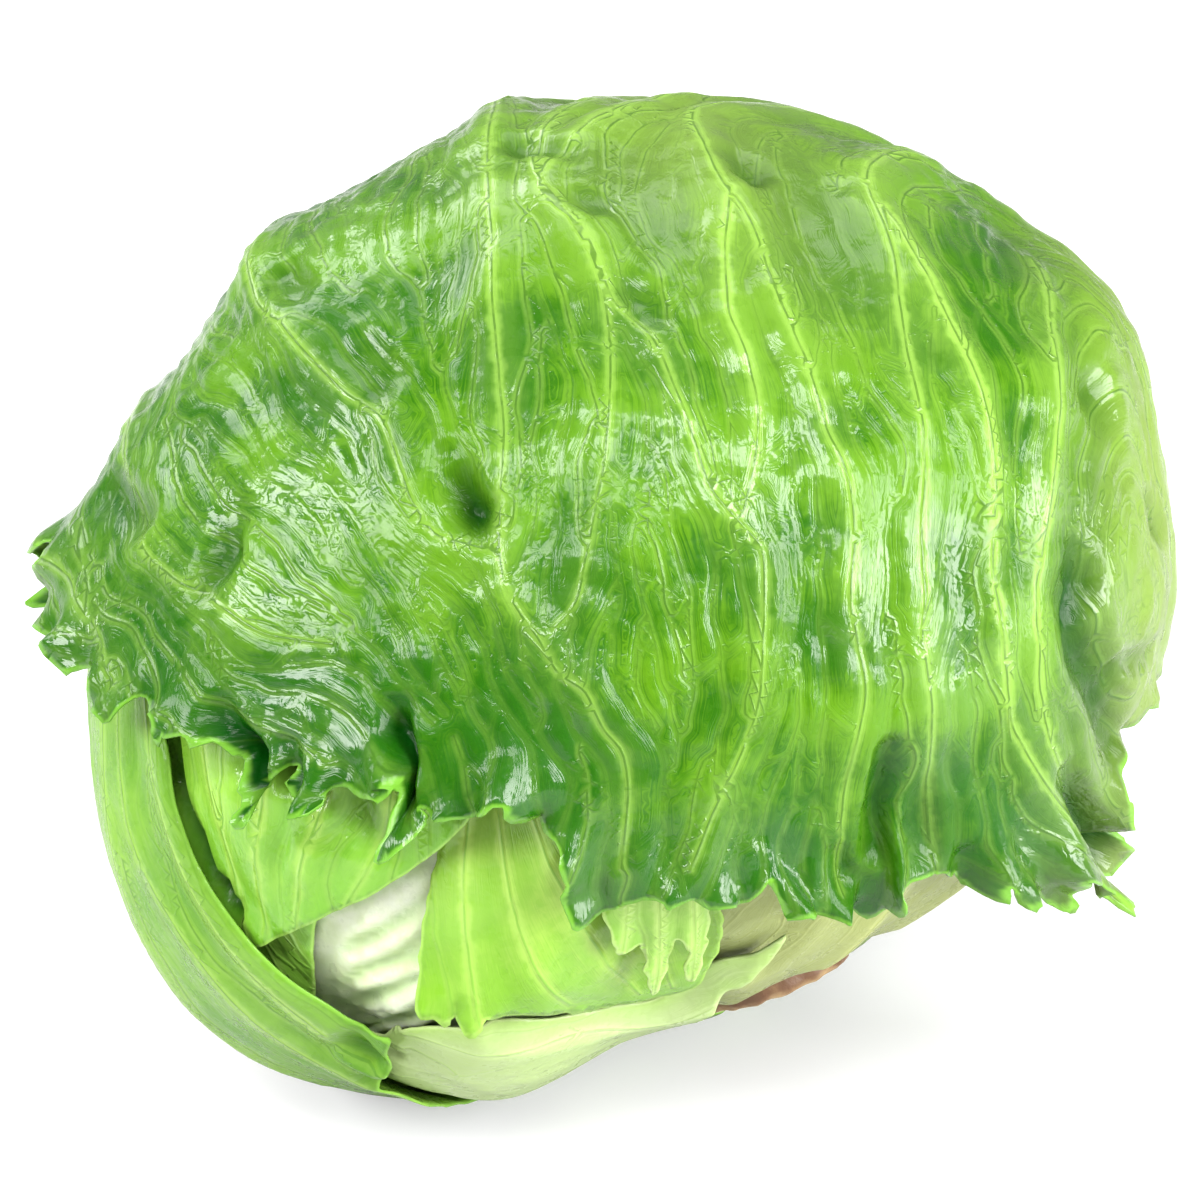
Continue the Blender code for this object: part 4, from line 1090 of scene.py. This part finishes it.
class Finish:
    """A material whose nodes are added by short calls."""

    def __init__(self, name):
        self.material = bpy.data.materials.new(name)
        self.material.use_nodes = True
        self.nodes = self.material.node_tree.nodes
        self.links = self.material.node_tree.links
        self.surface = self.nodes["Principled BSDF"]
        self.place = self.nodes.new("ShaderNodeTexCoord").outputs["Object"]

    def feed(self, socket, value):
        if isinstance(value, bpy.types.NodeSocket):
            self.links.new(value, socket)
        else:
            socket.default_value = value

    def math(self, operation, a, b=0.0):
        node = self.nodes.new("ShaderNodeMath")
        node.operation = operation
        self.feed(node.inputs[0], a)
        self.feed(node.inputs[1], b)
        return node.outputs[0]

    def mix(self, share, a, b):
        node = self.nodes.new("ShaderNodeMix")
        node.data_type = "RGBA"
        self.feed(node.inputs[0], share)
        self.feed(node.inputs[6], a)
        self.feed(node.inputs[7], b)
        return node.outputs[2]

    def ramp(self, value, low, high, start=0.0, end=1.0):
        """start below low, end above high, and smooth between them."""
        node = self.nodes.new("ShaderNodeMapRange")
        node.interpolation_type = "SMOOTHSTEP"
        for socket, given in zip(node.inputs, (value, low, high, start, end)):
            self.feed(socket, given)
        return node.outputs[0]

    def mark(self, name):
        node = self.nodes.new("ShaderNodeAttribute")
        node.attribute_name = name
        return node.outputs["Fac"]

    def noise(self, scale, detail=2.0, rough=0.5, at=None):
        node = self.nodes.new("ShaderNodeTexNoise")
        self.links.new(at or self.place, node.inputs["Vector"])
        node.inputs["Scale"].default_value = scale
        node.inputs["Detail"].default_value = detail
        node.inputs["Roughness"].default_value = rough
        return node.outputs[0]

    def along_veins(self, near, drawn_out):
        """Places in which textures run in streaks along the veins: slow over the surface, and
        faster with the distance from a vein."""
        split = self.nodes.new("ShaderNodeCombineXYZ")
        for socket, share in zip(split.inputs, (0.4, 0.7, 0.6)):
            self.feed(socket, self.math("MULTIPLY", near, share * MM))
        slow = self.nodes.new("ShaderNodeVectorMath")
        slow.operation = "MULTIPLY_ADD"
        self.links.new(self.place, slow.inputs[0])
        slow.inputs[1].default_value = (drawn_out, drawn_out, drawn_out)
        self.links.new(split.outputs[0], slow.inputs[2])
        return slow.outputs[0]

    def bump(self, height, distance, strength):
        """Fine relief, of the skin and of the gloss over it."""
        node = self.nodes.new("ShaderNodeBump")
        node.inputs["Strength"].default_value = strength
        node.inputs["Distance"].default_value = distance
        self.feed(node.inputs["Height"], height)
        for socket in ("Normal", "Coat Normal"):
            self.links.new(node.outputs[0], self.surface.inputs[socket])


def leaf_finish(name, dark, light, hollow_shade, rib, line, rim, pale, shade, wet=0.5):
    """A fresh leaf: its blade between dark and light green, darker towards its margin as painted
    shade and with painted shade in hollows, paler along ribs and towards its base, and browned
    round the stem, with thin dark veins, a painted highlight along the rim and fine streaks along
    the veins."""
    f = Finish(name)
    near, edge, power = f.mark("near"), f.mark("edge"), f.mark("power")
    side = f.math("ABSOLUTE", f.mark("side"))
    rib_gap, strength, hollow = f.mark("rib"), f.mark("strength"), f.mark("hollow")
    streaks = f.noise(3800, 1, 0.6, at=f.along_veins(near, 0.06))
    mottle = f.noise(300, 2, 0.65)
    grain = f.math("MULTIPLY", f.math("SUBTRACT", mottle, 0.5), 2.4)
    tone = f.math("MULTIPLY", f.mark("tone"), 0.27)
    tone = f.math("ADD", tone, f.math("MULTIPLY", streaks, 0.6))
    tone = f.math("ADD", tone, f.math("MULTIPLY", mottle, 0.35))
    blade = f.mix(f.ramp(tone, 0.26, 0.72), dark, light)
    # Darker within 30 mm of the margin: painted shade.
    from_edge = f.math("ADD", edge, f.math("MULTIPLY", grain, 8.0))
    blade = f.mix(f.ramp(from_edge, 2.0, 30.0, 0.78, 0.0), blade, shade)
    blade = f.mix(f.math("MULTIPLY", f.mark("pale"), 0.9), blade, pale)
    halo = f.ramp(f.math("SUBTRACT", rib_gap, grain), 1.5, 6.0, 0.25, 0.0)
    blade = f.mix(f.math("MULTIPLY", halo, strength), blade, rib)
    band = f.ramp(f.math("SUBTRACT", rib_gap, grain), 0.5, 1.7, 0.7, 0.0)
    blade = f.mix(f.math("MULTIPLY", band, strength), blade, rib)
    beside = f.math("MULTIPLY", f.ramp(near, 0.35, 1.1, 0.3, 0.0), power)
    blade = f.mix(beside, blade, rib)
    # Painted shade in the folds' hollows.
    blade = f.mix(f.math("MULTIPLY", hollow, 0.92), blade, hollow_shade)
    close = f.ramp(near, 0.7, 1.1, 1.0, 0.0)
    width = f.math("MULTIPLY", power, 0.12)
    thread = f.math("MULTIPLY", f.ramp(side, width, f.math("ADD", width, 0.13), 1.0, 0.0), close)
    shown = f.math("MULTIPLY", thread, f.ramp(mottle, 0.3, 0.55, 0.3, 0.8))
    shown = f.math("MULTIPLY", shown, f.ramp(power, 0.1, 0.8, 0.12, 0.8))
    blade = f.mix(shown, blade, line)
    # A painted highlight along the margin's rim.
    blade = f.mix(f.ramp(edge, 0.1, 0.6, 0.55, 0.0), blade, rim)
    burnt = f.ramp(f.math("ADD", f.mark("cut"), grain), 0.2, 1.6, 0.9, 0.0)
    blade = f.mix(burnt, blade, colour(96, 54, 28))
    f.feed(f.surface.inputs["Base Color"], blade)
    f.feed(f.surface.inputs["Roughness"], f.ramp(mottle, 0.35, 0.65, 0.24, 0.42))
    f.surface.inputs["Specular IOR Level"].default_value = 0.1
    patches = f.ramp(f.noise(48, 1, 0.6), 0.4, 0.6, 0.4 * wet, 1.3 * wet)
    smooth = f.ramp(hollow, 0.1, 0.8, 1.0, 0.2)
    f.feed(f.surface.inputs["Coat Weight"], f.math("MULTIPLY", patches, smooth))
    f.surface.inputs["Coat Roughness"].default_value = 0.12
    height = f.math("MULTIPLY", f.ramp(side, 0.0, 0.6, 0.6, 0.0), f.math("MULTIPLY", close, power))
    height = f.math("ADD", height, f.math("MULTIPLY", streaks, 0.3))
    height = f.math("ADD", height, f.math("MULTIPLY", mottle, 0.8))
    f.bump(height, 0.4 * MM, 0.6)
    return f.material


# In each finish the colours for hollows and for near the margin are painted shade, and the rim's colour
# is a painted highlight.
FINISHES = {
    "cap_leaf": dict(dark=colour(36, 87, 3), light=colour(77, 123, 13), hollow_shade=colour(2, 58, 6),
                     rib=colour(132, 170, 70), line=colour(36, 76, 6), rim=colour(128, 190, 60),
                     pale=colour(116, 138, 60), shade=colour(24, 80, 3)),
    "left_leaf": dict(dark=colour(86, 138, 28), light=colour(116, 162, 50), hollow_shade=colour(24, 84, 10),
                      rib=colour(146, 184, 78), line=colour(62, 112, 20), rim=colour(136, 190, 70),
                      pale=colour(124, 154, 68), shade=colour(80, 130, 26), wet=0.4),
    "right_leaf": dict(dark=colour(146, 160, 76), light=colour(172, 180, 104), hollow_shade=colour(88, 108, 44),
                       rib=colour(176, 184, 116), line=colour(134, 146, 70), rim=colour(150, 140, 76),
                       pale=colour(148, 158, 96), shade=colour(132, 148, 68), wet=0.3),
    "fold_leaf": dict(dark=colour(92, 150, 30), light=colour(130, 180, 56), hollow_shade=colour(30, 100, 10),
                      rib=colour(152, 190, 82), line=colour(84, 138, 30), rim=colour(168, 210, 100),
                      pale=colour(140, 184, 68), shade=colour(96, 154, 34)),
    "front_leaf": dict(dark=colour(116, 168, 42), light=colour(150, 186, 74), hollow_shade=colour(40, 104, 16),
                       rib=colour(158, 194, 86), line=colour(104, 156, 44), rim=colour(172, 214, 96),
                       pale=colour(142, 174, 72), shade=colour(108, 158, 38)),
    "frayed_leaf": dict(dark=colour(132, 176, 66), light=colour(180, 208, 118), hollow_shade=colour(50, 110, 22),
                        rib=colour(172, 204, 108), line=colour(128, 168, 66), rim=colour(196, 224, 134),
                        pale=colour(170, 202, 104), shade=colour(108, 162, 40)),
    "tuck_leaf": dict(dark=colour(108, 164, 46), light=colour(142, 192, 76), hollow_shade=colour(50, 112, 22),
                      rib=colour(156, 196, 92), line=colour(76, 128, 30), rim=colour(172, 212, 104),
                      pale=colour(142, 190, 76), shade=colour(108, 164, 46)),
    "under_leaf": dict(dark=colour(158, 192, 98), light=colour(184, 208, 130), hollow_shade=colour(90, 136, 44),
                       rib=colour(190, 212, 144), line=colour(146, 180, 90), rim=colour(190, 210, 142),
                       pale=colour(168, 190, 124), shade=colour(152, 184, 96), wet=0.35),
}


def ring_faces(rings, count, start, first, last):
    """The triangles of a row of rings of points, closed by a single point at each end."""
    faces = []
    end = start + (rings - 1) * count
    for i in range(count):
        j = (i + 1) % count
        faces.append((first, start + i, start + j))
        faces.append((last, end + j, end + i))
        for a in range(start, end, count):
            b = a + count
            faces += [(a + i, b + i, b + j), (a + i, b + j, a + j)]
    return np.array(faces)


def heart_mesh(leaves):
    """The dense ball of inner leaves, which every leaf round it clears. Its rows of points start
    at the opening, where they are closest."""
    sides, rows = 180, 110
    pole = compass(*OPENING_WAY)
    side = unit(np.cross(pole, [0.0, 0.0, 1.0]))
    other = np.cross(pole, side)
    turns = np.linspace(0, 2 * math.pi, sides, endpoint=False)
    ring = np.cos(turns)[:, None] * side + np.sin(turns)[:, None] * other
    angles = [math.pi * (k / rows) ** 1.5 for k in range(1, rows)]
    rings = [math.cos(a) * pole + math.sin(a) * ring for a in angles]
    d = np.vstack([pole[None], *rings, -pole[None]])
    radius = form(d) + HEART_LEVEL
    crest = np.zeros(len(d))
    for width, points in HEART_FOLDS:
        path = seen([p[:2] for p in points], lambda q: form(q) + HEART_LEVEL)
        near, height, _ = Crease(width * MM, path, [p[2] * MM for p in points]).relief(d)
        crest[near] += height
    radius += crest
    at = d * MEAN_RADIUS
    radius += 0.5 * MM * ripples(at, 8 * MM, 4) + 0.35 * MM * ripples(at, 3.5 * MM, 5)
    radius = above_floor(d, radius, 4 * MM)
    radius = np.minimum(radius, free_radius(d, leaves))
    stem = compass(*STEM_WAY)
    on_axis = d * radius[:, None] @ stem
    off_axis = np.linalg.norm(d * radius[:, None] - on_axis[:, None] * stem, axis=1)
    bore = (off_axis < STEM_RADIUS + STEM_GAP) & (on_axis > 0)
    end = form(stem[None])[0] - STEM_DEPTH - STEM_GAP
    depth = end / np.maximum(d @ stem, 0.1)
    radius = np.where(bore, np.minimum(radius, depth), radius)
    points = d * radius[:, None]
    faces, _ = outward_normals(points, ring_faces(rows - 1, sides, 1, 0, len(d) - 1), d)
    return points, faces, {"crest": crest / MM}


def heart_finish():
    """Crisp white inner leaf, greener in its folds."""
    f = Finish("heart")
    mottle = f.noise(300, 3, 0.6)
    patches = f.noise(60, 2)
    base = f.mix(f.ramp(patches, 0.4, 0.65), colour(240, 248, 220), colour(222, 238, 188))
    base = f.mix(f.ramp(f.mark("crest"), 0.1, 1.6, 0.75, 0.0), base, colour(190, 220, 148))
    base = f.mix(f.ramp(mottle, 0.45, 0.75, 0.0, 0.4), base, colour(200, 220, 150))
    f.feed(f.surface.inputs["Base Color"], base)
    f.feed(f.surface.inputs["Roughness"], f.ramp(mottle, 0.3, 0.7, 0.25, 0.42))
    f.surface.inputs["Subsurface Weight"].default_value = 0.3
    f.surface.inputs["Subsurface Radius"].default_value = (1.0, 1.0, 0.5)
    f.surface.inputs["Subsurface Scale"].default_value = 3 * MM
    f.bump(mottle, 0.5 * MM, 0.7)
    return f.material


def stem_mesh():
    """The stem's stump: a lobed pillar with a rounded rim and a rough, slightly dished cut."""
    axis = compass(*STEM_WAY)
    end = form(axis[None])[0] + STEM_PROUD
    side = unit(np.cross(axis, [0.0, 0.0, 1.0]))
    other = np.cross(axis, side)
    count = 96
    turns = np.linspace(0, 2 * math.pi, count, endpoint=False)
    lobed = 1 - 0.03 * (1 + np.cos(5 * turns)) - 0.012 * (1 + np.cos(17 * turns + 1))
    ring = (np.cos(turns) * lobed)[:, None] * side + (np.sin(turns) * lobed)[:, None] * other
    profile = [(end - 0.9 * MM, 0.05 * k * STEM_RADIUS) for k in range(1, 15)]
    profile += [(end - 0.5 * MM, 0.78 * STEM_RADIUS), (end - 0.1 * MM, 0.86 * STEM_RADIUS),
                (end, 0.91 * STEM_RADIUS), (end - 0.3 * MM, 0.96 * STEM_RADIUS),
                (end - 1.2 * MM, STEM_RADIUS), (end - 8 * MM, STEM_RADIUS),
                (end - STEM_DEPTH, 0.8 * STEM_RADIUS)]
    points = np.vstack([axis * at + ring * radius for at, radius in profile])
    rough = 0.25 * MM * ripples(points, 2.2 * MM, 9)
    rough[-2 * count:] = 0
    points = points + axis * (rough - 0.25 * MM)[:, None]
    points = np.vstack([points, axis * (end - 1.2 * MM), axis * (end - STEM_DEPTH)])
    faces = ring_faces(len(profile), count, 0, len(points) - 2, len(points) - 1)
    middle = axis * (end - 0.5 * STEM_DEPTH)
    faces, _ = outward_normals(points, faces, points - middle)
    out = np.linalg.norm(points - (points @ axis)[:, None] * axis, axis=1) / STEM_RADIUS
    return points, faces, {"edge": out}


def stem_finish():
    """The cut end has a pale core, a ring of darker strands and a browned rim."""
    f = Finish("stem")
    out = f.mark("edge")
    wobble = f.math("MULTIPLY", f.math("SUBTRACT", f.noise(240, 3), 0.5), 0.22)
    out = f.math("ADD", out, wobble)
    mottle = f.noise(420, 4, 0.6)
    base = f.mix(f.ramp(mottle, 0.35, 0.7), colour(214, 198, 156), colour(184, 148, 100))
    base = f.mix(f.ramp(out, 0.45, 0.62, 0.0, 0.7), base, colour(128, 84, 48))
    base = f.mix(f.ramp(out, 0.66, 0.8, 0.0, 0.8), base, colour(176, 148, 104))
    base = f.mix(f.ramp(out, 0.86, 0.97, 0.0, 0.9), base, colour(96, 58, 30))
    f.feed(f.surface.inputs["Base Color"], base)
    f.feed(f.surface.inputs["Roughness"], f.ramp(mottle, 0.3, 0.7, 0.4, 0.65))
    f.bump(mottle, 0.5 * MM, 0.8)
    return f.material


WORLD_GLOW = 0.32
FLOOR_GLOW = 0.4

# The lights: compass and height angles, distance, width and height in metres, and brightness.
LIGHTS = [
    ("key", 350, 52, 0.95, (0.7, 0.2), 17),
    ("left", 288, 28, 0.9, (0.6, 0.26), 17),
    ("right", 54, 28, 0.9, (0.26, 0.78), 19),
    ("side", 78, 8, 0.9, (0.3, 0.4), 13),
    ("rim", 228, 32, 1.0, (0.6, 0.4), 7),
    ("back", 180, 62, 1.1, (0.9, 0.6), 3),
]


def add_floor():
    """A plain pale floor."""
    f = Finish("floor")
    shade = f.noise(9, 2)
    f.feed(f.surface.inputs["Base Color"], f.mix(shade, (0.62, 0.62, 0.62, 1), (0.66, 0.66, 0.66, 1)))
    f.surface.inputs["Roughness"].default_value = 0.9
    f.surface.inputs["Specular IOR Level"].default_value = 0.2
    f.surface.inputs["Emission Color"].default_value = (1, 1, 1, 1)
    looked_at = f.nodes.new("ShaderNodeLightPath").outputs["Is Camera Ray"]
    f.feed(f.surface.inputs["Emission Strength"], f.math("MULTIPLY", looked_at, FLOOR_GLOW))
    size = 4.0
    mesh = bpy.data.meshes.new("floor")
    corners = [(-size, -size, 0), (size, -size, 0), (size, size, 0), (-size, size, 0)]
    mesh.from_pydata(corners, [], [(0, 1, 2, 3)])
    mesh.materials.append(f.material)
    floor = bpy.data.objects.new("floor", mesh)
    bpy.context.scene.collection.objects.link(floor)


def add_light(name, azimuth, elevation, distance, size, glow):
    """A soft rectangular light that looks at the head. The glow is its face's brightness."""
    data = bpy.data.lights.new(name, "AREA")
    data.shape = "RECTANGLE"
    data.size, data.size_y = size
    data.energy = glow * math.pi * size[0] * size[1]
    light = bpy.data.objects.new(name, data)
    way = compass(azimuth, elevation)
    light.location = CENTRE + way * distance
    light.rotation_euler = Vector(way).to_track_quat("Z", "Y").to_euler()
    bpy.context.scene.collection.objects.link(light)


def add_world():
    world = bpy.data.worlds.new("studio")
    world.use_nodes = True
    background = world.node_tree.nodes["Background"]
    background.inputs["Color"].default_value = (1, 1, 1, 1)
    background.inputs["Strength"].default_value = WORLD_GLOW
    world.cycles.sampling_method = "NONE"
    bpy.context.scene.world = world


def add_camera():
    """The eye that the drawing is seen by."""
    data = bpy.data.cameras.new("camera")
    data.sensor_width = 36
    data.lens = data.sensor_width * VIEW_DISTANCE / (DRAWING_SIZE * PX)
    data.clip_start = 0.01
    camera = bpy.data.objects.new("camera", data)
    shift = (np.array(DRAWING_CENTRE) - HEAD_CENTRE) * PX * (1, -1)
    place = CENTRE + RIGHT * shift[0] + UP * shift[1] + TOWARDS * VIEW_DISTANCE
    pose = Matrix((RIGHT, UP, TOWARDS)).transposed().to_4x4()
    pose.translation = place
    camera.matrix_world = pose
    bpy.context.scene.collection.objects.link(camera)
    bpy.context.scene.camera = camera


def main():
    add_camera()
    leaves = make_leaves()
    for k, leaf in enumerate(leaves):
        points, faces, marks = leaf_mesh(leaf, leaves[:k])
        material = leaf_finish(leaf.name, **FINISHES[leaf.name])
        add_piece(f"{leaf.name}_sheet", leaf.name, points, faces, marks, material)
    add_piece("heart_ball", "heart", *heart_mesh(leaves), heart_finish())
    add_piece("stem_stump", "stem", *stem_mesh(), stem_finish())
    add_floor()
    add_world()
    for light in LIGHTS:
        add_light(*light)
    bpy.context.scene.view_settings.view_transform = "Standard"
    bpy.context.scene.cycles.max_bounces = 2
    bpy.context.scene.cycles.diffuse_bounces = 1


main()
